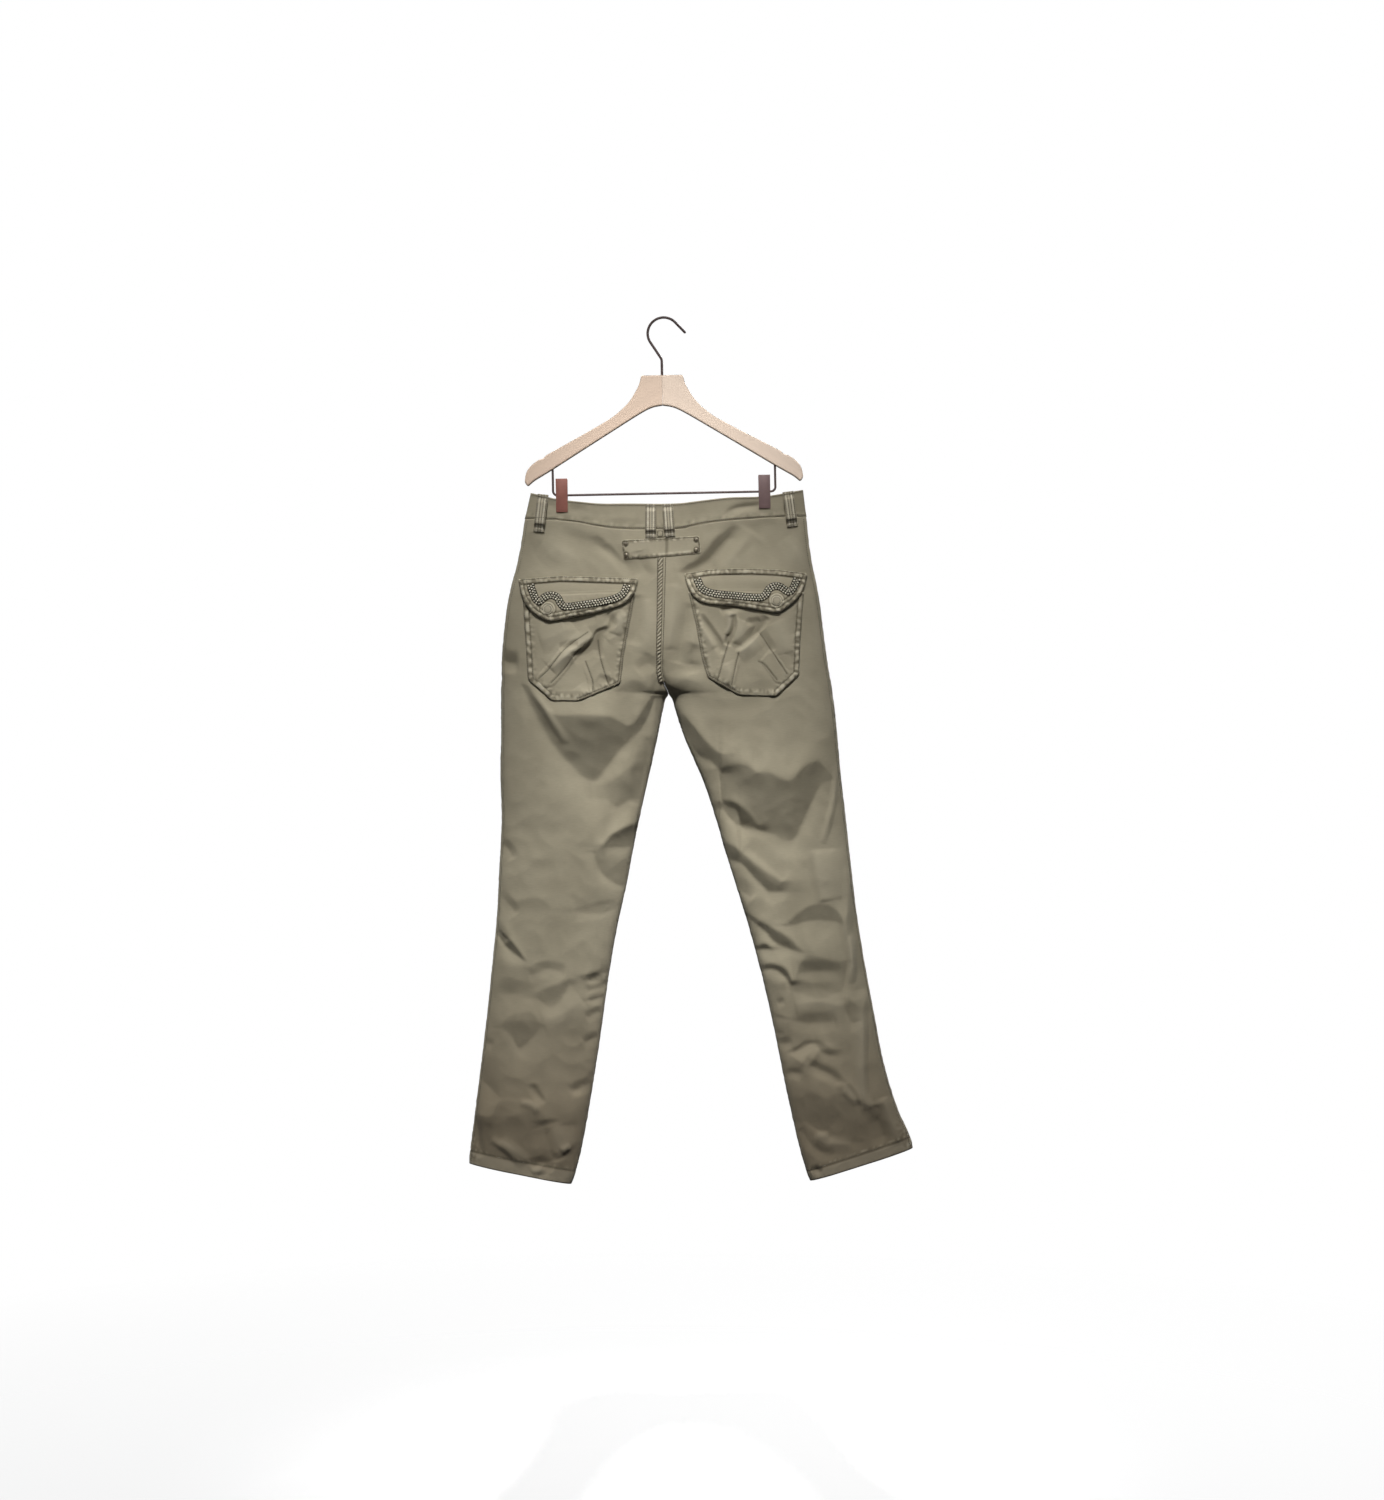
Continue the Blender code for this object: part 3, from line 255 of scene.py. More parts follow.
        (-1.3, 5, 5, (-155, -474), (-130, -470), (-104, -463)),
        (1.4, 12, 12, (-190, -500), (-160, -490), (-140, -475)),
        (-1.4, 3, 4, (-100, -556), (-84, -562), (-72, -573)),
        (1.2, 8, 7, (-130, -570), (-120, -582), (-104, -585)),
    ),
    "pocket_right": (
        (-4.2, 2, 4, (107, -461), (109, -475), (105, -492), (99, -508)),
        (3.0, 6, 3, (101, -455), (103, -475), (99, -492)),
        (-3.4, 5, 3, (108, -514), (124, -504), (141, -487), (160, -464)),
        (2.4, 8, 9, (113, -519), (130, -507), (148, -490)),
        (-3.0, 3, 4, (56, -461), (73, -484), (86, -505), (92, -520)),
        (1.8, 8, 5, (50, -466), (66, -490), (78, -512)),
        (-1.8, 3, 4, (87, -455), (104, -448), (122, -447)),
        (-1.4, 3, 3, (128, -470), (136, -472), (148, -467)),
        (1.6, 9, 10, (125, -470), (118, -488), (112, -505)),
        (1.3, 12, 12, (175, -470), (186, -495), (190, -520)),
        (-1.3, 4, 5, (150, -487), (160, -503), (168, -517)),
        (1.4, 7, 7, (96, -535), (102, -552), (98, -570)),
    ),
}

# Facets of each panel. A facet is the flat lean of the cloth between two lines: out at its upper
# line, in at its lower one, evening out over its reach round them. A row has the slope, the reach
# and the two lines, whose points run towards greater x.
FACETS = {
    "back_left": (
        (0.32, 12, ((-99, -338), (-77, -357), (-62, -377)), ((-99, -352), (-84, -364),
         (-64, -379))),
        (0.26, 40, ((-209, -567), (-191, -593), (-170, -613), (-120, -615), (-81, -618),
         (-51, -630), (-31, -605), (-18, -585)), ((-221, -563), (-197, -611), (-170, -658),
         (-140, -694), (-108, -716), (-85, -692), (-61, -662), (-39, -641), (-23, -615),
         (-13, -587))),
        (0.5, 16, ((-94, -815), (-85, -803), (-67, -791), (-43, -781)), ((-95, -817), (-81, -819),
         (-47, -817))),
        (0.17, 14, ((-108, -823), (-95, -818), (-81, -820), (-47, -818)), ((-107, -826),
         (-104, -842), (-94, -860), (-71, -876), (-48, -880))),
        (0.14, 25, ((-96, -722), (-75, -712), (-51, -694)), ((-90, -743), (-73, -755),
         (-53, -745))),
        (0.5, 16, ((-253, -946), (-236, -960), (-223, -976), (-211, -994)), ((-257, -953),
         (-245, -969), (-230, -982), (-212, -994))),
        (0.12, 25, ((-216, -1001), (-202, -1005), (-188, -1009)), ((-234, -1044), (-216, -1041),
         (-198, -1035), (-186, -1026))),
        (0.16, 20, ((-198, -1041), (-170, -1031), (-145, -1021)), ((-195, -1051), (-175, -1064),
         (-156, -1051), (-145, -1030))),
        (0.15, 22, ((-252, -1094), (-239, -1080), (-220, -1073), (-202, -1074), (-188, -1090)),
         ((-248, -1097), (-234, -1110), (-223, -1128), (-202, -1112), (-188, -1094))),
        (0.24, 10, ((-116, -1051), (-104, -1048), (-90, -1046)), ((-115, -1055), (-91, -1054))),
        (0.26, 12, ((-122, -1014), (-102, -1012), (-88, -1023)), ((-120, -1023), (-107, -1024),
         (-88, -1029))),
        (0.18, 20, ((-131, -912), (-106, -905), (-79, -900), (-67, -904)), ((-127, -919),
         (-95, -921), (-77, -914))),
        (-0.16, 20, ((-283, -1178), (-265, -1193), (-252, -1205)), ((-291, -1228), (-266, -1232),
         (-252, -1208))),
        (0.1, 35, ((-271, -1232), (-236, -1232), (-202, -1224), (-168, -1239)), ((-278, -1290),
         (-227, -1304), (-182, -1304), (-163, -1298))),
        (-0.12, 16, ((-181, -1262), (-168, -1250), (-150, -1248)), ((-172, -1284), (-158, -1292),
         (-142, -1280))),
        (0.16, 8, ((-184, -1311), (-176, -1316), (-172, -1322)), ((-200, -1322), (-186, -1324),
         (-174, -1323))),
    ),
    "back_right": (
        (0.3, 12, ((28, -389), (62, -363), (78, -342), (101, -324)), ((30, -394), (44, -388),
         (73, -370), (101, -340))),
        (0.26, 22, ((24, -609), (44, -629), (69, -658), (87, -674)), ((28, -633), (44, -662),
         (57, -678), (73, -686), (91, -704))),
        (0.21, 36, ((87, -698), (105, -691), (131, -693), (141, -702), (164, -704), (194, -715),
         (212, -698), (228, -686), (239, -686), (264, -712)), ((87, -702), (89, -743), (113, -763),
         (121, -787), (144, -791), (172, -799), (200, -806), (222, -765), (241, -725),
         (264, -714))),
        (0.25, 12, ((83, -747), (105, -747), (129, -763), (144, -783)), ((91, -759), (113, -783),
         (133, -785), (148, -793))),
        (0.34, 20, ((97, -812), (113, -820), (144, -846), (180, -870)), ((101, -838), (121, -844),
         (141, -866), (162, -887))),
        (0.26, 22, ((189, -936), (210, -917), (234, -906), (254, -907), (272, -921), (278, -937)),
         ((183, -939), (204, -937), (220, -932), (246, -931), (266, -933), (276, -937))),
        (0.36, 14, ((129, -920), (151, -933), (175, -947), (195, -959), (206, -971), (216, -978)),
         ((130, -927), (155, -947), (173, -965), (195, -975), (214, -980))),
        (0.5, 10, ((141, -973), (155, -967), (168, -973)), ((145, -978), (155, -976), (167, -976))),
        (0.5, 12, ((151, -1000), (171, -998), (191, -1008), (198, -1024)), ((153, -1008),
         (171, -1007), (186, -1017), (196, -1030))),
        (0.13, 30, ((198, -1026), (210, -1000), (220, -984), (240, -988), (260, -994), (282, -992)),
         ((200, -1038), (220, -1046), (242, -1051), (262, -1044), (278, -1034), (284, -996))),
        (0.14, 16, ((283, -1049), (293, -1058), (305, -1066)), ((280, -1067), (290, -1087),
         (304, -1085))),
        (0.32, 12, ((230, -1115), (242, -1117), (260, -1129)), ((234, -1121), (246, -1134),
         (256, -1139))),
        (0.36, 12, ((191, -1133), (206, -1125), (224, -1115)), ((193, -1137), (210, -1130),
         (226, -1121))),
        (0.22, 10, ((165, -1075), (179, -1077), (195, -1082)), ((167, -1079), (181, -1082),
         (195, -1084))),
        (-0.22, 16, ((184, -1133), (204, -1131), (224, -1115), (245, -1119)), ((194, -1138),
         (223, -1152), (240, -1130))),
        (0.12, 35, ((214, -1204), (226, -1197), (253, -1204), (271, -1195), (299, -1214)),
         ((221, -1243), (254, -1264), (301, -1273), (338, -1264))),
        (0.3, 10, ((288, -1184), (300, -1200), (306, -1214)), ((284, -1192), (296, -1206),
         (303, -1216))),
    ),
    "front_left": (
        (0.22, 40, ((-214, -586), (-150, -600), (-80, -606), (-30, -600)), ((-218, -592),
         (-170, -650), (-120, -690), (-70, -664), (-26, -612))),
        (0.35, 20, ((-130, -822), (-96, -826), (-64, -842)), ((-130, -846), (-96, -856),
         (-66, -852))),
        (0.3, 20, ((-214, -936), (-160, -922), (-110, -930)), ((-212, -946), (-160, -952),
         (-112, -946))),
        (0.2, 25, ((-236, -1076), (-180, -1064), (-130, -1080)), ((-236, -1094), (-184, -1112),
         (-132, -1100))),
        (0.12, 35, ((-262, -1220), (-190, -1212), (-136, -1222)), ((-268, -1280), (-200, -1290),
         (-146, -1276))),
    ),
    "front_right": (
        (0.22, 40, ((30, -620), (90, -628), (160, -618), (226, -600)), ((28, -636), (76, -690),
         (130, -706), (180, -668), (230, -606))),
        (0.35, 20, ((92, -838), (124, -826), (164, -832)), ((94, -850), (126, -858), (166, -850))),
        (0.3, 20, ((150, -950), (204, -936), (262, -944)), ((152, -966), (206, -970), (262, -958))),
        (0.2, 25, ((190, -1086), (244, -1070), (300, -1086)), ((192, -1108), (246, -1120),
         (300, -1104))),
        (0.12, 35, ((212, -1226), (270, -1214), (330, -1206)), ((222, -1284), (280, -1284),
         (344, -1262))),
    ),
}


# ---- numbers -----------------------------------------------------------------------------------

def smooth_step(value):
    value = np.clip(value, 0.0, 1.0)
    return value * value * (3 - 2 * value)


def bell(value, width):
    """1 where the value is 0, dying away on both sides of it over about the width."""
    return np.exp(-(value / width) ** 2)


def fade(value, reach):
    """1 where the value is 0, dying away above it over about the reach."""
    return np.exp(-value / reach)


def mix(first, second, share):
    return first + (second - first) * share


def curve_values(knots, values, places):
    """The cubic curve through the values at their knots, read at many places."""
    knots, values = np.asarray(knots, float), np.asarray(values, float)
    last = len(knots) - 1
    places = np.asarray(places, float)
    index = np.clip(np.searchsorted(knots, places, side="left") - 1, 0, last - 1)

    def slope(i):
        low, high = np.maximum(i - 1, 0), np.minimum(i + 1, last)
        return (values[high] - values[low]) / (knots[high] - knots[low])

    step = knots[index + 1] - knots[index]
    f = np.clip((places - knots[index]) / step, 0.0, 1.0)
    leave, arrive = slope(index) * step, slope(index + 1) * step
    return (values[index] * (2 * f ** 3 - 3 * f ** 2 + 1) + leave * (f ** 3 - 2 * f ** 2 + f)
            + values[index + 1] * (3 * f ** 2 - 2 * f ** 3) + arrive * (f ** 3 - f ** 2))


def table_values(rows, column, places):
    """One column of a table whose rows are one level apart."""
    return curve_values(range(len(rows)), [row[column] for row in rows], places)


def waist_values(side, column, shares):
    rows = WAIST[side]
    return curve_values([row[0] for row in rows], [row[column] for row in rows], shares)


def travelled(points):
    """Distance along a line at each of its points."""
    return np.concatenate([[0], np.cumsum(np.hypot(*np.diff(points, axis=0).T))])


def smooth_line(points, steps=6):
    """A curve drawn smoothly through a few points, as an array of many."""
    points = np.asarray(points, float)
    if len(points) < 3:
        return points
    knots = travelled(points)
    places = np.interp(np.arange((len(points) - 1) * steps + 1) / steps,
                       range(len(points)), knots)
    return np.stack([curve_values(knots, points[:, i], places) for i in (0, 1)], axis=-1)


def even_line(points, pitch):
    """Points at an even pitch along a line, with both of its ends."""
    points = np.asarray(points, float)
    knots = travelled(points)
    places = np.linspace(0, knots[-1], max(1, round(knots[-1] / pitch)) + 1)
    return np.stack([np.interp(places, knots, points[:, i]) for i in (0, 1)], axis=-1)


def from_line(x, z, line):
    """Distance to a line, positive on its left, then the distance along it and its length."""
    line = np.asarray(line, float)
    best = np.full(x.shape, 1e9)
    signed, along = np.zeros(x.shape), np.zeros(x.shape)
    passed = 0.0
    for (x1, z1), (x2, z2) in zip(line[:-1], line[1:]):
        dx, dz = x2 - x1, z2 - z1
        length = math.hypot(dx, dz)
        share = np.clip(((x - x1) * dx + (z - z1) * dz) / length ** 2, 0, 1)
        off_x, off_z = x - x1 - share * dx, z - z1 - share * dz
        distance = np.hypot(off_x, off_z)
        nearer = distance < best
        best = np.where(nearer, distance, best)
        signed = np.where(nearer, np.copysign(distance, dx * off_z - dz * off_x), signed)
        along = np.where(nearer, passed + share * length, along)
        passed += length
    return signed, along, passed


def line_gap(x, z, line):
    """Distance to a line, on either side of it."""
    return abs(from_line(x, z, line)[0])


def closed(outline):
    """An outline that ends with its first point again."""
    return np.array(list(outline) + [outline[0]])


def turn_sign(outline):
    """1 for an outline that runs anticlockwise as one looks at it, -1 for a clockwise one."""
    x, z = np.transpose(outline)
    return np.sign(np.sum(x * np.roll(z, -1) - np.roll(x, -1) * z))


def edge_distance(x, z, outline):
    """Distance inwards from a closed outline, negative outside, and the distance along it."""
    signed, along, _ = from_line(x, z, closed(outline))
    return signed * turn_sign(outline), along


def noise_values(x, z, size, seed=0.0):
    """Smooth noise from about -1 to 1 whose bumps are about one size apart."""
    flat = [noise.noise(Vector((a, seed, b))) for a, b in
            zip((np.ravel(x) / size).tolist(), (np.ravel(z) / size).tolist())]
    return np.reshape(flat, np.shape(x))


# ---- the garment's surface ---------------------------------------------------------------------

CREST = 1.3               # a fold's crest is rounded over this distance
FOLD_FOOT = 0.12          # and its foot over this share of its flank
FOLD_REACH = 2.6          # a fold ends this many times its spread from its line
FACET_FALL = 1.5          # how sharply a facet's edge evens out
# The cloth's own unevenness and the ridges of its crumples: size and height of each
UNDULATION = ((70, 0.9), (27, 0.35), (11, 0.10))
CRUMPLE = ((64, 1.0), (31, 0.55))
CRUMPLE_SEED = 5
PANEL_SEED = {BACK: 3.0, FRONT: 9.0}
BAND_PUCKER = (13, 1.1, 5.0)    # size, height and seed of the waistband's puckers at its seam
BAND_WAVE = (42, 0.3, 6.0)      # and of its slow waves
# How soon the pinched waist and the folds reach their height, as the section rises from its edge
HELD_RISE = 1.4
FOLD_RISE = 1.3


def fold_heights(panel, x, z):
    """What all the folds of a panel add to its stand-off."""
    total = np.zeros(x.shape)
    for height, left, right, *points in FOLDS.get(panel, ()):
        line = smooth_line(points)
        reach = FOLD_REACH * max(left, right)
        (low_x, low_z), (high_x, high_z) = line.min(axis=0) - reach, line.max(axis=0) + reach
        near = (x > low_x) & (x < high_x) & (z > low_z) & (z < high_z)
        if not near.any():
            continue
        signed, along, length = from_line(x[near], z[near], line)
        width = np.where(signed > 0, left, right)
        rise = 1 - (np.hypot(signed, CREST) - CREST) / (2 * width)
        flank = (rise + np.hypot(rise, FOLD_FOOT)) / 2
        taper = np.sqrt(np.clip(4 * along / length * (1 - along / length), 0, 1))
        total[near] += height * taper * flank
    return total


def facet_heights(panel, x, z):
    """What all the facets of a panel add to its stand-off."""
    total = np.zeros(x.shape)
    for slope, reach, upper, lower in FACETS.get(panel, ()):
        (upper_x, upper_z), (lower_x, lower_z) = np.transpose(upper), np.transpose(lower)
        low, high = min(upper_x[0], lower_x[0]), max(upper_x[-1], lower_x[-1])
        top, bottom = curve_values(upper_x, upper_z, x), curve_values(lower_x, lower_z, x)
        half = np.maximum(top - bottom, 0) / 2
        above = z - (top + bottom) / 2
        beside = np.maximum(np.maximum(low - x, x - high), 0)
        outside = np.hypot(np.maximum(abs(above) - half, 0), beside)
        total += slope * np.clip(above, -half, half) * np.exp(-(outside / reach) ** FACET_FALL)
    return total


def undulation(x, z, seed):
    """The cloth's soft unevenness, and the fine crumple lines that years of wear leave in it."""
    soft = sum(height * noise_values(x, z, size, seed + i)
               for i, (size, height) in enumerate(UNDULATION))
    return soft + sum(height * (1 - 2 * abs(noise_values(x, z, size, seed + CRUMPLE_SEED + i)))
                      for i, (size, height) in enumerate(CRUMPLE))


def centre_openness(inner_z):
    """1 where the section runs on across the centre seam, 0 where a leg's tube closes."""
    under = np.clip((RISE_CURVE_Z - inner_z) / (RISE_CURVE_Z - CROTCH_Z), 0, 1)
    return (1 - under ** 2) ** RISE_ROUNDING


def rounded_section(share, openness):
    """Stand-off of a unit-deep section: rounded at the side seam, and at the inseam if closed."""
    power = mix(LEG_SQUARENESS, HIP_SQUARENESS, openness)
    towards_centre = (1 - (1 - share) ** power) ** (1 / power)
    tube = np.maximum(1 - abs(2 * share - 1) ** power, 0) ** (1 / power)
    return mix(tube, towards_centre, openness)


def stand_off(face, depth, profile, x, z, extra):
    """y of the outer cloth, from its free depth, the clips' pinch and what folds add."""
    nearest = np.minimum(abs(x - CLIP_X[0]), abs(x - CLIP_X[1]))
    down = (PINCH_TOP_Z - z) / (PINCH_TOP_Z - PINCH_BOTTOM_Z)
    pinch = np.exp(-(nearest / PINCH_REACH) ** 4) * (1 - smooth_step(down))
    free = depth * profile * (1 - pinch)
    held = PINCH_HALF * np.minimum(1.0, HELD_RISE * profile) * pinch
    return face * (SEAM_GAP / 2 + free + held + extra * smooth_step(FOLD_RISE * profile))


def panel_points(side, face, levels, shares):
    """Points of a panel's outer face."""
    levels, shares = np.broadcast_arrays(levels, shares)
    outline = SIDE_OUTLINE[side]
    outer_x, outer_z, inner_x, inner_z = (table_values(outline, i, levels) for i in range(4))
    centre_x = table_values(SIDE_OUTLINE["left"], 2, levels) + SIDE_SIGN[side] * SEAM_GAP / 2
    inner_x = np.where(levels <= CROTCH_LEVEL, centre_x, inner_x)
    x = mix(outer_x, inner_x, shares)
    z = mix(outer_z, inner_z, shares)
    seam_dip = waist_values(side, 3, shares) - mix(outline[0][1], outline[0][3], shares)
    z = z + seam_dip * (1 - smooth_step(levels / 2))
    if face == FRONT:
        drop_left = smooth_step((z - DROP_END_Z) / (outline[0][1] - DROP_END_Z))
        z = z - FRONT_DROP * shares * drop_left
    depth = table_values(DEPTHS, 0 if face == BACK else 1, levels)
    profile = rounded_section(shares, centre_openness(inner_z))
    name = FACE_NAME[face] + "_" + side
    extra = fold_heights(name, x, z) + facet_heights(name, x, z)
    extra = extra + undulation(x, z, PANEL_SEED[face])
    return np.stack([x, stand_off(face, depth, profile, x, z, extra), z], axis=-1)


def band_points(side, face, heights, shares):
    """Points of the waistband; height is 0 at its seam and 1 at its top edge."""
    heights, shares = np.broadcast_arrays(heights, shares)
    seam = panel_points(side, face, np.zeros(shares.shape), shares)
    top_x = np.where(shares == 1, seam[..., 0], waist_values(side, 1, shares))
    top_z = waist_values(side, 2, shares) - (FRONT_DROP * shares if face == FRONT else 0)
    x = mix(seam[..., 0], top_x, heights)
    z = mix(seam[..., 2] + SEAM_GAP, top_z, heights)
    column = 0 if face == BACK else 1
    depth = mix(DEPTHS[0][column], WAIST_TOP_DEPTH[column], heights)
    (size, pucker, seed), (slow_size, wave, slow_seed) = BAND_PUCKER, BAND_WAVE
    extra = (fold_heights("waistband_" + FACE_NAME[face], x, z)
             + pucker * noise_values(x, z, size, seed) * (1 - heights)
             + wave * noise_values(x, z, slow_size, slow_seed))
    return np.stack([x, stand_off(face, depth, rounded_section(shares, 1), x, z, extra), z], -1)


# ---- meshes ------------------------------------------------------------------------------------

SHELL = 1.0               # thickness of a cloth piece as it shows
PANEL_CELL = {BACK: 2.5, FRONT: 4.2}
EDGE_CROWDING = 0.75


def crowded_shares(cells):
    """Shares across a panel, closer together at both edges where the section turns."""
    even = np.linspace(0, 1, cells + 1)
    return even - EDGE_CROWDING * np.sin(2 * np.pi * even) / (2 * np.pi)


def even_levels(side, cell):
    """Levels down a panel whose rows are about one cell apart."""
    heights = [row[1] + row[3] for row in SIDE_OUTLINE[side]]
    levels = []
    for level, (high, low) in enumerate(zip(heights[:-1], heights[1:])):
        rows = max(1, round((high - low) / 2 / cell))
        levels += [level + row / rows for row in range(rows)]
    return np.array(levels + [LAST_LEVEL])


def grid_normals(grid, face):
    """Outward unit normals of a grid of points."""
    normals = np.cross(np.gradient(grid, axis=0), np.gradient(grid, axis=1))
    normals /= np.maximum(np.linalg.norm(normals, axis=-1, keepdims=True), 1e-9)
    middle = normals[len(grid) // 2, grid.shape[1] // 2]
    return normals if middle[1] * face > 0 else -normals


def show(data, mesh):
    """Turn a mesh's faces outwards, shade it smooth and put it in the scene."""
    bmesh.ops.recalc_face_normals(mesh, faces=mesh.faces)
    mesh.to_mesh(data)
    mesh.free()
    data.shade_smooth()
    obj = bpy.data.objects.new(data.name, data)
    bpy.context.scene.collection.objects.link(obj)
    return obj


def new_object(name, mesh):
    return show(bpy.data.meshes.new(name), mesh)


def mesh_object(name, points, faces, cloth=True):
    """Object from points and faces; a cloth piece takes its x and z as its place in the cut."""
    points = np.array([tuple(point) for point in points], float)
    data = bpy.data.meshes.new(name)
    data.from_pydata((points * MM).tolist(), [], faces)
    if cloth:
        layer = data.uv_layers.new(name="cut")
        corners = np.empty(len(data.loops), dtype=np.int32)
        data.loops.foreach_get("vertex_index", corners)
        layer.data.foreach_set("uv", (points[corners][:, (0, 2)] * MM).ravel())
    mesh = bmesh.new()
    mesh.from_mesh(data)
    return show(data, mesh)


def closed_grid(name, outer, inner):
    """Closed piece between two grids of points of the same size."""
    rows, columns = outer.shape[:2]
    count = rows * columns
    number = np.arange(count).reshape(rows, columns)
    quads = np.stack([number[:-1, :-1], number[1:, :-1], number[1:, 1:], number[:-1, 1:]], -1)
    quads = quads.reshape(-1, 4)
    rim = np.concatenate([number[0, :-1], number[:-1, -1], number[-1, :0:-1], number[:0:-1, 0]])
    sides = np.stack([rim, np.roll(rim, -1), np.roll(rim, -1) + count, rim + count], -1)
    points = np.concatenate([outer.reshape(-1, 3), inner.reshape(-1, 3)])
    return mesh_object(name, points, np.concatenate([quads, quads + count, sides]).tolist())


def shell_object(name, grid, face, thickness=SHELL):
    """Thin closed shell whose outer face is a grid of points."""
    return closed_grid(name, grid, grid - grid_normals(grid, face) * thickness)


def ring_points(centre, across, up, sides):
    """Points round a centre; across and up are the ring's two half axes."""
    turns = [2 * math.pi * k / sides for k in range(sides)]
    return [centre + across * math.cos(turn) + up * math.sin(turn) for turn in turns]


def tube_faces(first, rings, sides):
    """Quads between rings of points that follow each other from a first point on."""
    return [(low + k, low + sides + k, low + sides + (k + 1) % sides, low + (k + 1) % sides)
            for low in range(first, first + (rings - 1) * sides, sides) for k in range(sides)]


def fan_faces(tip, first, sides):
    """Triangles between a tip and a ring of points."""
    return [(tip, first + k, first + (k + 1) % sides) for k in range(sides)]


def turned(profile, place, normal, sides, first=0):
    """Points and faces of a piece turned round its normal, from rows of radius and height that
    start on its axis and end there or in a flat face."""
    across = normal.cross(Vector((0, 0, 1))).normalized()
    up = across.cross(normal)
    rings = [row for row in profile[1:] if row[0]]
    points = [place + normal * profile[0][1]]
    for radius, height in rings:
        points += ring_points(place + normal * height, across * radius, up * radius, sides)
    faces = fan_faces(first, first + 1, sides) + tube_faces(first + 1, len(rings), sides)
    last_ring = first + 1 + (len(rings) - 1) * sides
    if profile[-1][0]:
        faces.append(tuple(range(last_ring, last_ring + sides)))
    else:
        faces += fan_faces(first + len(points), last_ring, sides)
        points.append(place + normal * profile[-1][1])
    return points, faces


# ---- materials ---------------------------------------------------------------------------------

CLOTH = (0.275, 0.243, 0.168)
CLOTH_WORN = (0.43, 0.39, 0.295)
# The dark tone of the uneven dye, and also the colour of the shade painted into creases, grooves
# and gaps
CLOTH_DEEP = (0.105, 0.09, 0.06)
THREAD = (0.066, 0.056, 0.038)
THREAD_WORN = (0.34, 0.31, 0.24)


class Look:
    """A material whose nodes are made one by one and joined by name."""

    def __init__(self, name, colour, roughness, metallic=0.0):
        self.material = bpy.data.materials.new(name)
        self.material.use_nodes = True
        self.tree = self.material.node_tree
        self.shader = self.tree.nodes["Principled BSDF"]
        self.shader.inputs["Base Color"].default_value = (*colour, 1)
        self.shader.inputs["Roughness"].default_value = roughness
        self.shader.inputs["Metallic"].default_value = metallic

    def node(self, kind, inputs=None, **settings):
        made = self.tree.nodes.new("ShaderNode" + kind)
        for key, value in settings.items():
            setattr(made, key, value)
        for key, value in (inputs or {}).items():
            if isinstance(value, bpy.types.NodeSocket):
                self.tree.links.new(value, made.inputs[key])
            else:
                made.inputs[key].default_value = value
        return made

    def maths(self, operation, first, second):
        return self.node("Math", {0: first, 1: second}, operation=operation).outputs[0]

    def blend(self, share, first, second):
        made = self.node("Mix", {0: share}, data_type="RGBA")
        for socket, value in ((6, first), (7, second)):
            if isinstance(value, bpy.types.NodeSocket):
                self.tree.links.new(value, made.inputs[socket])
            else:
                made.inputs[socket].default_value = (*value, 1)
        return made.outputs[2]

    def ramp(self, value, low, high, start=0.0, end=1.0):
        return self.node("MapRange", {0: value, 1: low, 2: high, 3: start, 4: end}).outputs[0]

    def noise(self, place, scale, detail=3.0, roughness=0.55):
        return self.node("TexNoise", {"Vector": place, "Scale": scale, "Detail": detail,
                                      "Roughness": roughness}).outputs[0]

    def scaled(self, place, scale, turn=0.0):
        return self.node("Mapping", {"Vector": place, "Scale": scale,
                                     "Rotation": (0, 0, turn)}).outputs[0]

    def set(self, socket, value):
        if isinstance(value, bpy.types.NodeSocket):
            self.tree.links.new(value, self.shader.inputs[socket])
        else:
            self.shader.inputs[socket].default_value = value

    def bump(self, height, distance, strength=1.0):
        self.set("Normal", self.node("Bump", {"Height": height, "Distance": distance,
                                              "Strength": strength}).outputs[0])


TWILL_ANGLE = math.radians(62)
TWILL_WAVE = 340          # wave scale, for diagonal ribs 0.9 mm apart
WEFT_WAVE = 520
SOIL_AND_SHADE_Z = (-0.98, -1.26)     # heights in metres where the legs start to darken, from soiling and painted shade, and are darkest
SOIL_AND_SHADE = 0.72             # how much of the darker, browner colour shows at the hems: soiling, and painted shade where the light falls off
CLOTH_SOIL_AND_SHADE = (0.165, 0.128, 0.082)


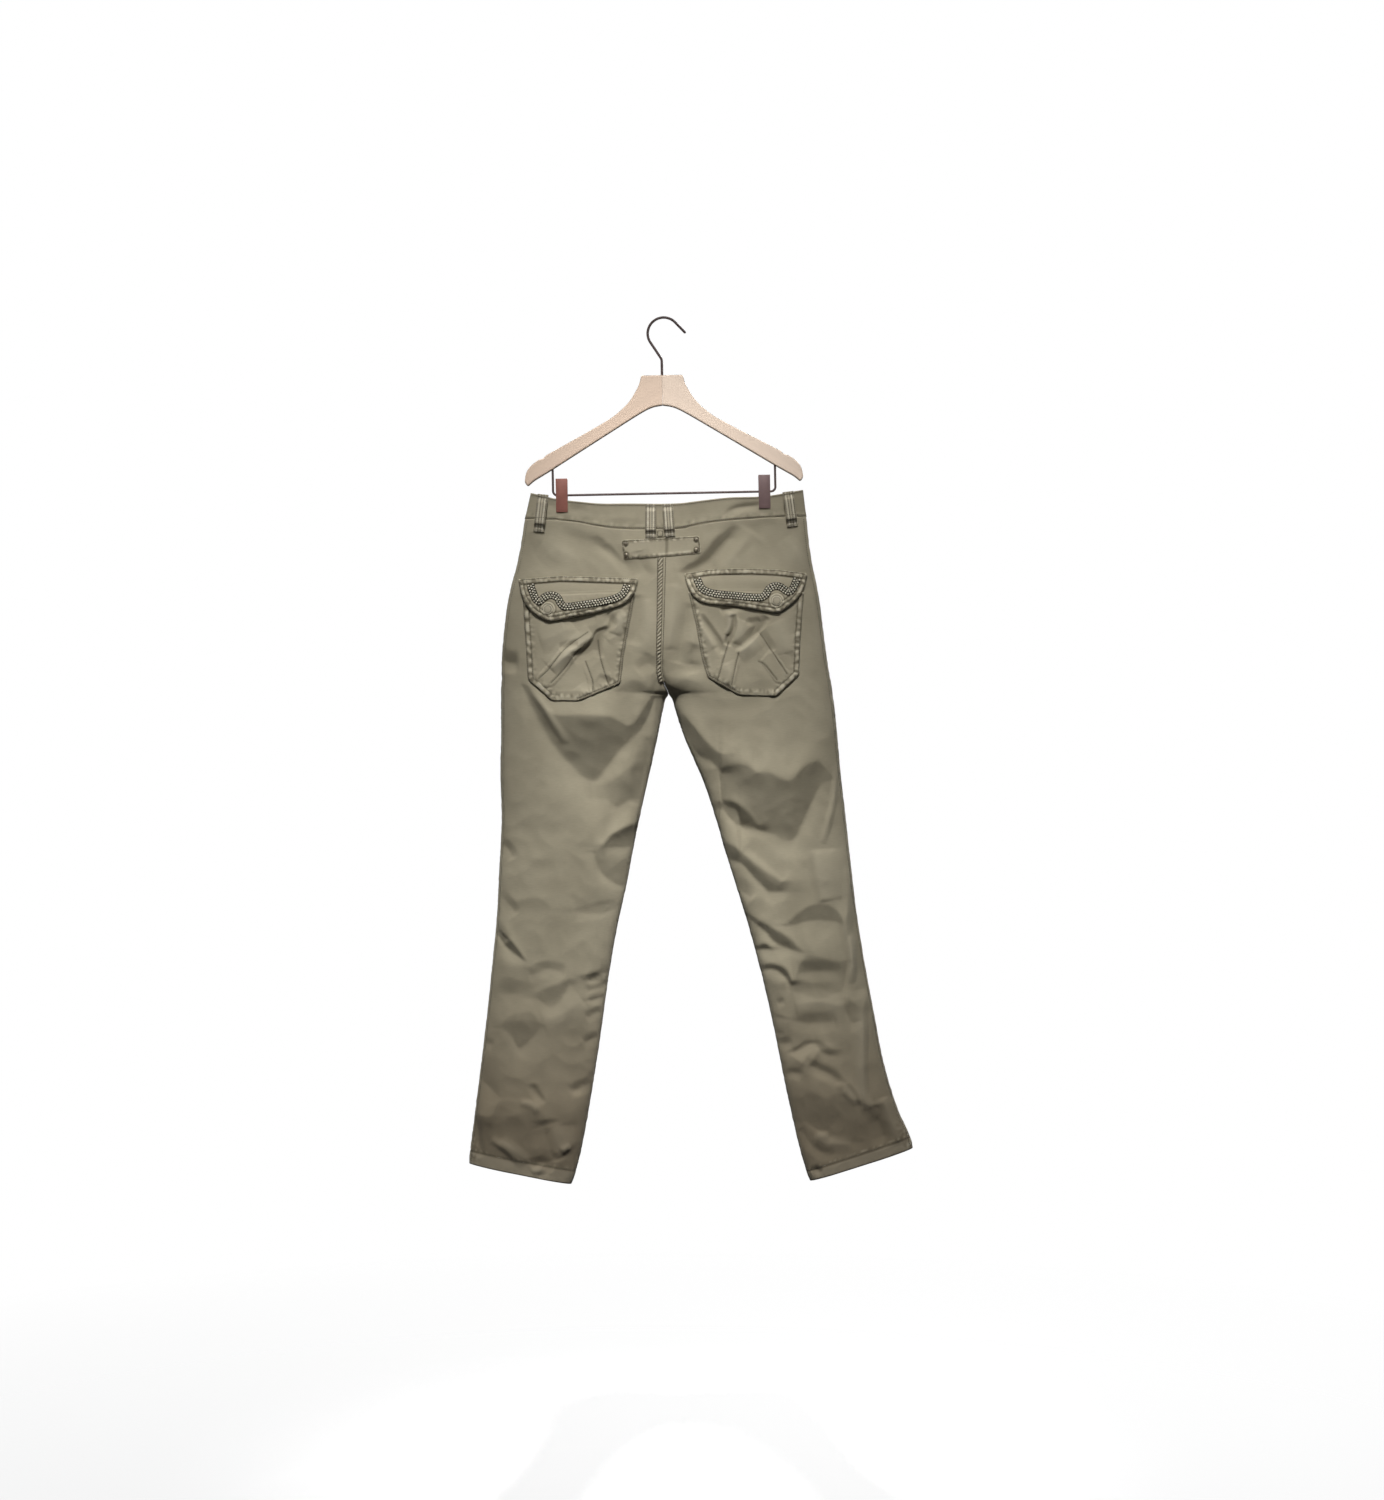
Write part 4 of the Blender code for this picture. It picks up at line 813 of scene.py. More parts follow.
def cloth_look(name, colour, worn, deep):
    """Twill: diagonal ribs, uneven dye, darker and browner towards the hems from soiling and
    painted shade, worn pale where its attribute is 1 and darker where it is 0, which is mostly
    painted shade.
    """
    look = Look(name, colour, 0.9)
    cut = look.node("UVMap", uv_map="cut").outputs[0]
    wear_and_shade = look.node("Attribute", attribute_name="wear_and_shade").outputs["Fac"]
    place = look.node("TexCoord").outputs["Object"]
    turned = look.scaled(cut, (1, 1, 1), TWILL_ANGLE)
    ribs = look.node("TexWave", {"Vector": turned, "Scale": TWILL_WAVE, "Distortion": 0.6,
                                 "Detail": 1.0}).outputs["Fac"]
    weft = look.node("TexWave", {"Vector": cut, "Scale": WEFT_WAVE, "Distortion": 0.8,
                                 "Detail": 1.0}, bands_direction="Y").outputs["Fac"]
    weave = look.maths("ADD", look.maths("MULTIPLY", ribs, 0.7),
                       look.maths("MULTIPLY", weft, 0.3))
    mottle = look.noise(place, 9.0, 5.0, 0.6)
    slub = look.noise(look.scaled(cut, (90, 900, 1)), 1.0, 3.0, 0.6)
    shade = look.blend(look.ramp(mottle, 0.3, 0.7), deep, worn)
    base = look.blend(0.22, colour, shade)
    base = look.blend(look.ramp(slub, 0.35, 0.7, 0.0, 0.16), base, deep)
    base = look.blend(look.maths("MULTIPLY", weave, 0.13), base, worn)
    height = look.node("SeparateXYZ", {0: place}).outputs["Z"]
    # Darker and browner towards the hems: soiling, and painted shade where the light falls off.
    base = look.blend(look.ramp(height, *SOIL_AND_SHADE_Z, 0.0, SOIL_AND_SHADE), base, CLOTH_SOIL_AND_SHADE)
    base = look.blend(look.ramp(wear_and_shade, 0.5, 1.0), base, worn)
    base = look.blend(look.ramp(wear_and_shade, 0.5, 0.0), base, deep)
    look.set("Base Color", base)
    look.set("Roughness", look.ramp(mottle, 0.2, 0.8, 0.82, 0.95))
    look.set("Sheen Weight", 0.12)
    look.set("Sheen Roughness", 0.45)
    look.set("Specular IOR Level", 0.25)
    look.bump(weave, 0.00022, 0.55)
    return look.material


def thread_look():
    look = Look("thread", THREAD, 0.75)
    place = look.node("TexCoord").outputs["Object"]
    ply = look.node("TexWave", {"Vector": look.scaled(place, (1, 1, 1), 0.7), "Scale": 900}
                    ).outputs["Fac"]
    worn = look.ramp(look.noise(place, 160.0, 2.0), 0.56, 0.72, 0.0, 0.7)
    base = look.blend(worn, THREAD, THREAD_WORN)
    look.set("Base Color", look.blend(look.maths("MULTIPLY", ply, 0.25), base, CLOTH_DEEP))
    look.bump(ply, 0.0001, 0.4)
    return look.material


def wood_look(name, colour, grain_turn):
    """Pale beech: long soft grain, short dark flecks and a satin finish."""
    pale, dark = [tuple(c * k for c in colour) for k in (1.05, 0.80)]
    look = Look(name, colour, 0.55)
    place = look.node("TexCoord").outputs["Object"]
    along = look.node("Mapping", {"Vector": place, "Rotation": (0, grain_turn, 0)}).outputs[0]
    growth = look.node("TexWave", {"Vector": look.scaled(along, (0.35, 6, 6)), "Scale": 2.6,
                                   "Distortion": 1.5, "Detail": 1.0, "Detail Scale": 1.0},
                       bands_direction="Z").outputs["Fac"]
    fibre = look.noise(look.scaled(along, (14, 260, 260)), 1.0, 3.0, 0.5)
    fleck = look.noise(look.scaled(along, (60, 420, 420)), 1.0, 2.0, 0.5)
    tone = look.blend(look.ramp(growth, 0.2, 0.9, 0.0, 0.6), pale, colour)
    tone = look.blend(look.ramp(fibre, 0.35, 0.75, 0.0, 0.14), tone, dark)
    tone = look.blend(look.ramp(fleck, 0.68, 0.78, 0.0, 0.2), tone, dark)
    look.set("Base Color", tone)
    return look.material


def metal_look(name, colour, roughness, spots=0.3, metallic=1.0):
    """Plated metal: uneven tone and fine scratches."""
    look = Look(name, colour, roughness, metallic)
    place = look.node("TexCoord").outputs["Object"]
    cloudy = look.noise(place, 60.0, 4.0)
    brushed = look.noise(look.scaled(place, (300, 300, 2600)), 1.0, 3.0)
    dark = tuple(c * 0.55 for c in colour)
    light = tuple(min(c * 1.5, 1) for c in colour)
    tone = look.blend(look.ramp(cloudy, 0.35, 0.7, 0.0, spots), colour, dark)
    look.set("Base Color", look.blend(look.ramp(brushed, 0.5, 0.8, 0.0, 0.35), tone, light))
    look.set("Roughness", look.ramp(brushed, 0.3, 0.7, roughness - 0.07, roughness + 0.1))
    look.bump(brushed, 0.00004, 0.3)
    return look.material


LOOKS = {
    "cloth": cloth_look("twill", CLOTH, CLOTH_WORN, CLOTH_DEEP),
    "cloth_light": cloth_look("twill_worn", (0.30, 0.268, 0.192), (0.47, 0.43, 0.335),
                              CLOTH_DEEP),
    "thread": thread_look(),
    "braid": cloth_look("braid", (0.036, 0.031, 0.022), (0.08, 0.07, 0.05),
                        (0.025, 0.021, 0.015)),
    "dots": metal_look("dots", (0.56, 0.52, 0.41), 0.5, 0.2, 0.0),
    "beech_left": wood_look("beech_left", (0.72, 0.545, 0.415), math.radians(31)),
    "beech_right": wood_look("beech_right", (0.79, 0.63, 0.50), math.radians(-31)),
    "wire": metal_look("bronzed_wire", (0.085, 0.055, 0.05), 0.5, 0.3, 0.2),
    # One clip paint in two copies: the left clips' redder tone and the right clips' greyer one are
    # painted reflection.
    "clip_left": metal_look("clip_paint_left_painted_reflection", (0.28, 0.105, 0.078), 0.5, 0.4, 0.2),
    "clip_right": metal_look("clip_paint_right_painted_reflection", (0.175, 0.112, 0.108), 0.5, 0.35, 0.2),
    "stud": metal_look("stud_metal", (0.24, 0.21, 0.155), 0.3, 0.4, 0.8),
}


def dress(obj, look, slot, *nodes):
    """Give a piece its material and its body, and hide the nodes it stands for; the slot is not
    used.
    """
    obj.data.materials.clear()
    obj.data.materials.append(LOOKS[look])
    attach(obj, BODY)
    if nodes:
        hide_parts(*nodes)
    return obj


# ---- panels and waistband ----------------------------------------------------------------------

PANEL_WIDTH = 250         # for counting a panel's columns
HEM_LEVEL = 20.2          # the hem's stitching
HEM_STEP = 0.08           # levels over which the turned hem rises
HEM_RISE = 0.5            # the turned hem stands out by this
HEM_GATHER = 0.07         # levels above the stitching where the cloth gathers
CORNER_LEVELS = (19.0, 1.2)     # where the side seam's crimp at the hem starts, and its length
CORNER_WIDTH = 0.07       # as a share of the panel's width
SEAM_WIDTH = 0.018        # the puckered strip along a seam, as the same share
SEAM_PALE = 0.01          # and its worn edge
BAND_ROWS = (0.06, 0.93)  # the waistband's rows of stitches, as shares of its height
BAND_WIDTH = 215          # for counting a half waistband's columns
BAND_CELL = 2.6
BAND_SHELL = 1.6
BAND_LAP = 0.55           # the band's lower edge stands out by this
BAND_CRIMP = (0.16, 0.1)  # place and width of its worn puckers, as shares of its height


def add_wear_and_shade(obj, wear_and_shade):
    """Worn paleness and painted shade at each point, the same inside and out: 0.5 is plain, 1 worn
    pale and 0 deep, which mostly paints shade into creases, grooves and gaps.
    """
    layer = obj.data.attributes.new("wear_and_shade", "FLOAT", "POINT")
    layer.data.foreach_set("value", np.resize(np.clip(wear_and_shade, 0, 1), len(obj.data.vertices)))


def panel(side, face):
    name = FACE_NAME[face] + "_" + side
    levels = even_levels(side, PANEL_CELL[face])[:, None]
    shares = crowded_shares(round(PANEL_WIDTH / PANEL_CELL[face]))[None, :]
    grid = panel_points(side, face, levels, shares)
    hem = smooth_step((levels - HEM_LEVEL) / HEM_STEP)
    edge = np.minimum(shares, np.where(levels > CROTCH_LEVEL, 1 - shares, 1))
    gathered = bell(levels - HEM_LEVEL + HEM_GATHER, HEM_GATHER)
    corner_start, corner_length = CORNER_LEVELS
    corner = smooth_step((levels - corner_start) / corner_length) * bell(shares, CORNER_WIDTH)
    crimp = noise_values(grid[..., 0], grid[..., 2], 5.0, 23.0)
    pucker = 0.7 * noise_values(levels * 60, edge * 30, 5.5, 20.0) * fade(edge, SEAM_WIDTH)
    pucker = pucker + (0.5 * gathered + 0.6 * corner) * crimp
    grid = grid + grid_normals(grid, face) * (hem * HEM_RISE + pucker)[..., None]
    obj = shell_object("cloth_" + name, grid, face)
    fold = fold_heights(name, grid[..., 0], grid[..., 2])
    stitched = bell(levels - HEM_LEVEL, 0.05)
    # Worn pale along the seam edges, on the turned hem and on puckers and fold crests; painted
    # shade in the folds' troughs and the hem's stitched groove.
    add_wear_and_shade(obj, 0.5 + 0.02 * fold - 0.5 * stitched + 0.12 * hem
             + 0.35 * fade(edge, SEAM_PALE) + (0.4 * gathered + 0.5 * corner) * crimp)
    dress(obj, "cloth", "cloth", name)
    return obj


def waistband(face):
    """One piece across the back, or two halves that meet at the front's centre."""
    heights = np.linspace(0, 1, 19)[:, None]
    shares = crowded_shares(round(BAND_WIDTH / BAND_CELL))[None, :]
    grids = {"waistband_front_" + side: band_points(side, face, heights, shares)
             for side in SIDE_SIGN}
    if face == BACK:
        left, right = grids.values()
        middle = (left[:, -1:] + right[:, -1:]) / 2
        grids = {"waistband_back": np.concatenate([left[:, :-1], middle, right[:, -2::-1]], 1)}
    crimp_place, crimp_width = BAND_CRIMP
    made = []
    for name, grid in grids.items():
        lapped = BAND_LAP * (1 - smooth_step(heights / 0.25))
        grid = grid + grid_normals(grid, face) * lapped[..., None]
        obj = shell_object("cloth_" + name, grid, face, BAND_SHELL)
        crimp = noise_values(grid[..., 0], grid[..., 2], 6.0, 27.0)
        stitched = sum(bell(heights - row, 0.035) for row in BAND_ROWS)
        # Worn pale at both edges and on its puckers; painted shade in the grooves of its rows of
        # stitches.
        add_wear_and_shade(obj, 0.5 + 0.3 * fade(np.minimum(heights, 1 - heights), 0.03)
                 - 0.45 * stitched + 0.3 * crimp * bell(heights - crimp_place, crimp_width))
        dress(obj, "cloth", "cloth", name)
        made.append(obj)
    return made


cloth_pieces = {BACK: [], FRONT: []}
for side in SIDE_SIGN:
    for face in cloth_pieces:
        cloth_pieces[face].append(panel(side, face))
for face in cloth_pieces:
    cloth_pieces[face] += waistband(face)


# ---- the hanger --------------------------------------------------------------------------------

HANGER_TILT = math.radians(1.1)
CLIP_WIDTH = 18
CLIP_TOP_Z = -245.2
CLIP_GRIP_Z = -264
CLIP_TIP_Z = -297
CLIP_PLATE = 1.2
CLIP_INNER = 3.6
CLIP_SPLAY = 2.0
WIRE_HOOK = 2.0
WIRE_BAR = 1.75
BAR_Z = -270.6
BAR_HALF = 172.3
BAR_BEND = 7
BAR_TOP_Z = -216
HOOK_CENTRE = (3.8, -22.8)
HOOK_RADIUS = 24.8
HOOK_LEAVES = math.radians(215)
HOOK_ARRIVES = math.radians(42)
HOOK_TIP = (36.5, -21.5)
HOOK_BEND_Z = -62
SHANK_END_Z = -116
WOOD_THICKNESS = 12
WOOD_EDGE = 3
# Half of the wood's outline, from the top of the neck round the arm's end: x, z, and how much of
# each corner is rounded off
ARM_OUTLINE = (
    (32, -87.7, 3), (36, -103, 7), (51, -128.5, 12), (76, -150.8, 14), (107, -168.4, 14),
    (182, -208.5, 2), (186.5, -213.6, 2), (193, -215, 3), (205, -223, 7), (213.5, -234, 7),
    (216, -250, 4), (211, -256, 3), (202, -248, 5), (173, -231, 9), (129.4, -204, 12),
    (39.5, -148.8, 18), (18, -137, 14),
)
ARM_NECK_Z = (-88, -134.2)
MOST_CUT = 0.48           # a rounded corner takes at most this share of a side
WIRE_SIDES = 16
DOME_ANGLES = (math.radians(40), math.radians(75))
SHARP_TURN = 1.2          # angle between faces that makes a plate's edge
PLATE_CORNER = 1.6        # rounding of a plate's corners
PLATE_EDGE = 0.3          # and of its edges


def rounded_outline(corners, steps=8):
    """Points round a closed outline whose corners are x, z and how much is rounded off."""
    points = []
    for index, (x, z, cut) in enumerate(corners):
        here = Vector((x, z))
        if not cut:
            points.append(here)
            continue
        before = Vector(corners[index - 1][:2]) - here
        after = Vector(corners[(index + 1) % len(corners)][:2]) - here
        start = here + before.normalized() * min(cut, before.length * MOST_CUT)
        end = here + after.normalized() * min(cut, after.length * MOST_CUT)
        for step in range(steps + 1):
            share = step / steps
            points.append(start.lerp(here, share).lerp(here.lerp(end, share), share))
    return points


def hang_frame():
    """The hanger's own frame, a little askew, with the hook's inside top at the origin."""
    turn = Matrix.Rotation(-HANGER_TILT, 4, "Y")
    hook_centre = turn @ Vector((HOOK_CENTRE[0], 0, HOOK_CENTRE[1]))
    shift = Vector((0, 0, WIRE_HOOK - HOOK_RADIUS)) - hook_centre
    return Matrix.Translation(shift * MM) @ turn


HANG = hang_frame()


def arc(centre, radius, start, end, steps):
    """Points along an arc, between two angles."""
    return [(centre[0] + radius * math.cos(mix(start, end, step / steps)),
             centre[1] + radius * math.sin(mix(start, end, step / steps)))
            for step in range(steps + 1)]


def wire(name, line, radius):
    """Round wire along a line in the hanger's plane, its ends domed."""
    line = [Vector(p) for p in line]
    rings = []
    for before, here, after in zip(line[:1] + line, line, line[1:] + line[-1:]):
        rings.append((here, (after - before).normalized(), radius))
    for end, sign in ((0, -1), (-1, 1)):
        here, along, _ = rings[end]
        domes = [(here + along * sign * radius * math.sin(angle), along,
                  radius * math.cos(angle)) for angle in DOME_ANGLES]
        rings = domes[::-1] + rings if sign < 0 else rings + domes
    points = []
    for here, along, size in rings:
        points += ring_points(Vector((here.x, 0, here.y)), Vector((-along.y, 0, along.x)) * size,
                              Vector((0, size, 0)), WIRE_SIDES)
    ends = (range(WIRE_SIDES), range(len(points) - WIRE_SIDES, len(points)))
    obj = mesh_object(name, points, tube_faces(0, len(rings), WIRE_SIDES) + list(ends), False)
    obj.data.transform(HANG)
    return dress(obj, "wire", "dark_wire")


def rounded_edges(mesh, edges, offset, segments):
    bmesh.ops.bevel(mesh, geom=edges, offset=offset * MM, segments=segments, affect="EDGES",
                    profile=0.5)


def board(outline, thickness):
    """Flat board in the hanger's plane."""
    mesh = bmesh.new()
    face = mesh.faces.new([mesh.verts.new((x * MM, -thickness / 2 * MM, z * MM))
                           for x, z in outline])
    far_side = bmesh.ops.extrude_face_region(mesh, geom=[face])["geom"]
    verts = [item for item in far_side if isinstance(item, bmesh.types.BMVert)]
    bmesh.ops.translate(mesh, verts=verts, vec=(0, thickness * MM, 0))
    return mesh


def wooden_arm(side, sign):
    """One arm of pale wood, its rim rounded but for the joint at the middle."""
    neck_top, neck_bottom = ARM_NECK_Z
    half = [(SEAM_GAP / 2, neck_top, 0)] + list(ARM_OUTLINE) + [(SEAM_GAP / 2, neck_bottom, 0)]
    outline = [Vector((sign * p.x, p.y)) for p in rounded_outline(half)]
    mesh = board(outline, WOOD_THICKNESS)
    rim = [edge for edge in mesh.edges
           if abs(edge.verts[0].co.y - edge.verts[1].co.y) < 1e-6
           and max(abs(v.co.x) for v in edge.verts) > SEAM_GAP * MM]
    bmesh.ops.bevel(mesh, geom=rim, offset=WOOD_EDGE * MM, segments=5, affect="EDGES",
                    profile=0.5, clamp_overlap=True)
    bmesh.ops.triangulate(mesh, faces=[face for face in mesh.faces if len(face.verts) > 4])
    mesh.transform(HANG)
    arm = new_object("wood_arm_" + side, mesh)
    arm.data.set_sharp_from_angle(angle=math.radians(40))
    for polygon in arm.data.polygons:
        polygon.use_smooth = abs(polygon.normal.y) < 0.99
    return dress(arm, "beech_" + side, "beech", "arm_" + side)


def clip(side, x):
    """The two bevelled jaws of a clip, whose spring barrel keeps the solid's shape."""
    heights = (CLIP_TIP_Z, CLIP_GRIP_Z, CLIP_TOP_Z)
    inner = (CLIP_INNER, CLIP_INNER, CLIP_INNER + CLIP_SPLAY)
    for jaw, face in (("back", BACK), ("front", FRONT)):
        outline = [Vector((face * off, z)) for off, z in zip(inner, heights)]
        outer = [Vector((p.x + face * CLIP_PLATE, p.y)) for p in outline]
        mesh = bmesh.new()
        rows = []
        for end in (-1, 1):
            rows.append([mesh.verts.new(((x + end * CLIP_WIDTH / 2) * MM, p.x * MM, p.y * MM))
                         for p in outline + outer[::-1]])
        count = len(rows[0])
        for k in range(count):
            mesh.faces.new((rows[0][k - 1], rows[0][k], rows[1][k], rows[1][k - 1]))
        for row in rows:
            mesh.faces.new((row[0], row[1], row[4], row[5]))
            mesh.faces.new((row[1], row[2], row[3], row[4]))
        corners = [edge for edge in mesh.edges if len(edge.link_faces) == 2
                   and edge.calc_face_angle() > SHARP_TURN
                   and abs(edge.verts[0].co.y - edge.verts[1].co.y) > 0.5 * MM]
        rounded_edges(mesh, corners, PLATE_CORNER, 5)
        bmesh.ops.recalc_face_normals(mesh, faces=mesh.faces)
        edges = [edge for edge in mesh.edges if edge.calc_face_angle(0) > SHARP_TURN]
        rounded_edges(mesh, edges, PLATE_EDGE, 2)
        mesh.transform(HANG)
        plate = new_object(f"clip_plate_{side}_{jaw}", mesh)
        plate.data.set_sharp_from_angle(angle=math.radians(35))
        dress(plate, "clip_" + side, "clip_metal", f"clip_{side}_{jaw}_jaw")


def hanger():
    for side, sign in SIDE_SIGN.items():
        wooden_arm(side, sign)
    over = arc(HOOK_CENTRE, HOOK_RADIUS, HOOK_LEAVES, HOOK_ARRIVES, 48)
    shank = [(0, SHANK_END_Z), (0, HOOK_BEND_Z - 3), (-0.4, HOOK_BEND_Z - 0.6),
             (-1.4, HOOK_BEND_Z + 1.4)]
    hook = wire("hook_wire", shank + over + [HOOK_TIP], WIRE_HOOK)
    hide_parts("hook")
    left, right = (arc((sign * (BAR_HALF - BAR_BEND), BAR_Z + BAR_BEND), BAR_BEND,
                       turn * math.pi, (turn + 0.5) * math.pi, 10)
                   for sign, turn in ((-1, 1), (1, 1.5)))
    bar = wire("bar_wire", [(-BAR_HALF, BAR_TOP_Z)] + left + right + [(BAR_HALF, BAR_TOP_Z)],
               WIRE_BAR)
    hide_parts("trouser_bar")
    for side, x in zip(SIDE_SIGN, CLIP_X):
        clip(side, x)
        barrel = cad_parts[f"clip_{side}_barrel"]
        barrel.data.materials.clear()
        barrel.data.materials.append(LOOKS["clip_" + side])


hanger()


# ---- pieces laid on the cloth ------------------------------------------------------------------

class Cloth:
    """The outermost surface on one face, for what is laid or sewn on it."""

    def __init__(self, face, pieces):
        self.face = face
        self.points, self.faces = [], []
        self.add(*pieces)

    def add(self, *pieces):
        for piece in pieces:
            first = len(self.points)
            self.points += [tuple(v.co / MM) for v in piece.data.vertices]
            self.faces += [[first + i for i in f.vertices] for f in piece.data.polygons]
        self.tree = BVHTree.FromPolygons(self.points, self.faces)

    def stands(self, x, z):
        """How far the cloth stands off the seam plane at many places."""
        heights = []
        toward = Vector((0, -self.face, 0))
        for px, pz in zip(np.ravel(x).tolist(), np.ravel(z).tolist()):
            start = Vector((px, 150 * self.face, pz))
            hit = self.tree.ray_cast(start, toward)[0]
            if hit is None:
                hit = self.tree.find_nearest(Vector((px, 20 * self.face, pz)))[0]
            heights.append(hit.y * self.face)
        return np.reshape(heights, np.shape(x))

    def evened(self, x, z, reach):
        """The same, evened out over a reach but never inside the cloth."""
        here = self.stands(x, z)
        around = [self.stands(x + dx, z + dz) for dx, dz in
                  ((reach, 0), (-reach, 0), (0, reach), (0, -reach))]
        return np.maximum(here, (here + sum(around)) / 5)

    def seat(self, x, z, reach=1.2):
        """Point on the cloth and the normal there."""
        xs = np.array([x, x + reach, x - reach, x, x])
        zs = np.array([z, z, z, z + reach, z - reach])
        stands = self.stands(xs, zs) * self.face
        across = Vector((2 * reach, stands[1] - stands[2], 0))
        up = Vector((0, stands[3] - stands[4], 2 * reach))
        normal = across.cross(up).normalized()
        if normal.y * self.face < 0:
            normal = -normal
        return Vector((x, stands[0], z)), normal


def flat_points(corners, steps=5):
    """A rounded outline as pairs of x and z."""
    return [tuple(p) for p in rounded_outline(corners, steps)]


def inset(line, distance):
    """An open line moved sideways, to its left where the distance is positive."""
    line = np.asarray(line, float)
    along = np.gradient(line, axis=0)
    along /= np.maximum(np.hypot(*along.T)[:, None], 1e-9)
    return line + np.stack([-along[:, 1], along[:, 0]], -1) * distance


EDGE_ROUND = 1.1          # rounding of a laid piece's edge
EDGE_RINGS = (0.3, 1.1)
ROW_STEP = 0.866          # rows of even triangles are this many cells apart
FACE_GAP = 0.25           # least thickness of a laid piece at its very edge
LEAST_HEIGHT = 0.4
UNDER = 0.15              # gap between a laid piece and what it lies on
RIM_STEP = 0.75           # spacing of the points round its rim, in cells
RIM_CLEAR = 0.45          # and how clear of its rings the even points stay


def inner_ring(outline, distance, kept):
    """Points at a distance inside an outline, where they keep at least a share of it."""
    looped = np.concatenate([outline[-1:], outline, outline[:1]])
    ring = inset(looped, distance * turn_sign(outline))[1:-1]
    deep, _ = edge_distance(*ring.T, outline)
    return ring[deep > kept * distance]


def flat_mesh(outline, cell):
    """Points and triangles that fill an outline evenly, with two rings just inside its edge."""
    rim = even_line(closed(outline), cell * RIM_STEP)[:-1]
    places = [rim] + [inner_ring(rim, distance, 0.8) for distance in EDGE_RINGS]
    low, high = rim.min(axis=0), rim.max(axis=0)
    rows = np.arange(low[1], high[1], cell * ROW_STEP)
    x, z = np.meshgrid(np.arange(low[0], high[0], cell), rows)
    x = x + (np.arange(len(rows)) % 2)[:, None] * cell / 2
    deep, _ = edge_distance(x, z, rim)
    inside = deep > EDGE_RINGS[-1] + RIM_CLEAR * cell
    places.append(np.stack([x[inside], z[inside]], -1))
    points = [Vector(p) for p in np.concatenate(places).tolist()]
    edges = [(i, (i + 1) % len(rim)) for i in range(len(rim))]
    made = delaunay_2d_cdt(points, edges, [], 1, 1e-5)
    return np.array([tuple(p) for p in made[0]]), [list(f) for f in made[2]]


def laid_piece(name, cloth, outline, shape, cell=1.8, reach=3.0, lift=None):
    """Closed sheet laid on the cloth; shape gives its height and its worn paleness and painted
    shade from x, z, the distance from the edge and the distance along it, and lift how far it hangs
    clear from x and z."""
    flat, triangles = flat_mesh(outline, cell)
    x, z = flat.T
    deep, along = edge_distance(x, z, outline)
    base = cloth.evened(x, z, reach)
    height, wear_and_shade = shape(x, z, deep, along)
    inner = UNDER + (lift(x, z) if lift else np.zeros(x.shape))
    rounded = np.sqrt(1 - (1 - np.clip(deep / EDGE_ROUND, 0, 1)) ** 2)
    outer = inner + FACE_GAP + (np.maximum(height, LEAST_HEIGHT) - FACE_GAP) * rounded
    count = len(flat)
    face = cloth.face
    points = np.concatenate([np.stack([x, face * (base + outer), z], -1),
                             np.stack([x, face * (base + inner), z], -1)])
    uses = {}
    for triangle in triangles:
        for a, b in zip(triangle, triangle[1:] + triangle[:1]):
            uses.setdefault((min(a, b), max(a, b)), []).append((a, b))
    rim = [pair[0] for pair in uses.values() if len(pair) == 1]
    faces = triangles + [[i + count for i in t[::-1]] for t in triangles]
    faces += [[b, a, a + count, b + count] for a, b in rim]
    obj = mesh_object(name, points, faces)
    add_wear_and_shade(obj, wear_and_shade)
    return obj


# ---- stitches ----------------------------------------------------------------------------------

STITCH = 2.5
STITCH_PITCH = 3.1
THREAD_RADIUS = 0.42
STITCH_SIDES = 5
STITCH_BELLY = 0.55       # where a stitch is thickest, as a share of its half length
STITCH_PROUD = 0.35       # how far it stands out of the cloth, as a share of its radius


def stitch_run(cloth, line):
    """Places of the stitches along a line: where, its direction and the normal."""
    spots = even_line(line, STITCH_PITCH)
    middles = (spots[:-1] + spots[1:]) / 2
    run = []
    for (x, z), before, after in zip(middles, spots[:-1], spots[1:]):
        place, normal = cloth.seat(x, z)
        along = Vector((after[0] - before[0], 0, after[1] - before[1]))
        along = (along - normal * along.dot(normal)).normalized() * STITCH / 2
        run.append((place, along, normal))
    return run


def stitches(name, runs):
    """One mesh of small spindles of thread, half sunk in the cloth."""
    points, faces = [], []
    for place, along, normal in (spot for run in runs for spot in run):
        first = len(points)
        side = along.cross(normal).normalized() * THREAD_RADIUS
        up = normal * THREAD_RADIUS
        points += [place - along, place + along]
        for share in (-STITCH_BELLY, STITCH_BELLY):
            points += ring_points(place + along * share + up * STITCH_PROUD, side, up,
                                  STITCH_SIDES)
        faces += fan_faces(first, first + 2, STITCH_SIDES)
        faces += tube_faces(first + 2, 2, STITCH_SIDES)
        faces += fan_faces(first + 1, first + 2 + STITCH_SIDES, STITCH_SIDES)
    return dress(mesh_object(name, points, faces, False), "thread", "cloth_light")


# Size and seed of the puckers along each kind of seam
PUCKERS = {
    "fell": (6.5, 2.0), "hem": (5.0, 4.0), "beside_fell": (5.5, 7.0), "border": (5.5, 12.0),
    "inner_border": (5.5, 15.0), "welt": (5.0, 18.0), "tab": (5.0, 41.0),
    "centre_band": (6.0, 55.0), "small": (5.0, 61.0),
}
PUCKER_GAIN = 1.3
PUCKER_STRETCH = 0.6      # puckers run across their seam
# How uneven each kind of laid piece is, as a share of a panel's unevenness, and its seed
UNEVEN = {"pocket": (0.45, 21.0), "flap": (0.3, 31.0), "tab": (0.35, 44.0), "small": (0.35, 64.0)}


def puckers(along, across, seam):
    """Uneven bumps along a seam, from 0 to 1."""
    size, seed = PUCKERS[seam]
    bumps = noise_values(along, across * PUCKER_STRETCH, size, seed)
    return np.clip(0.5 + PUCKER_GAIN * bumps, 0, 1)


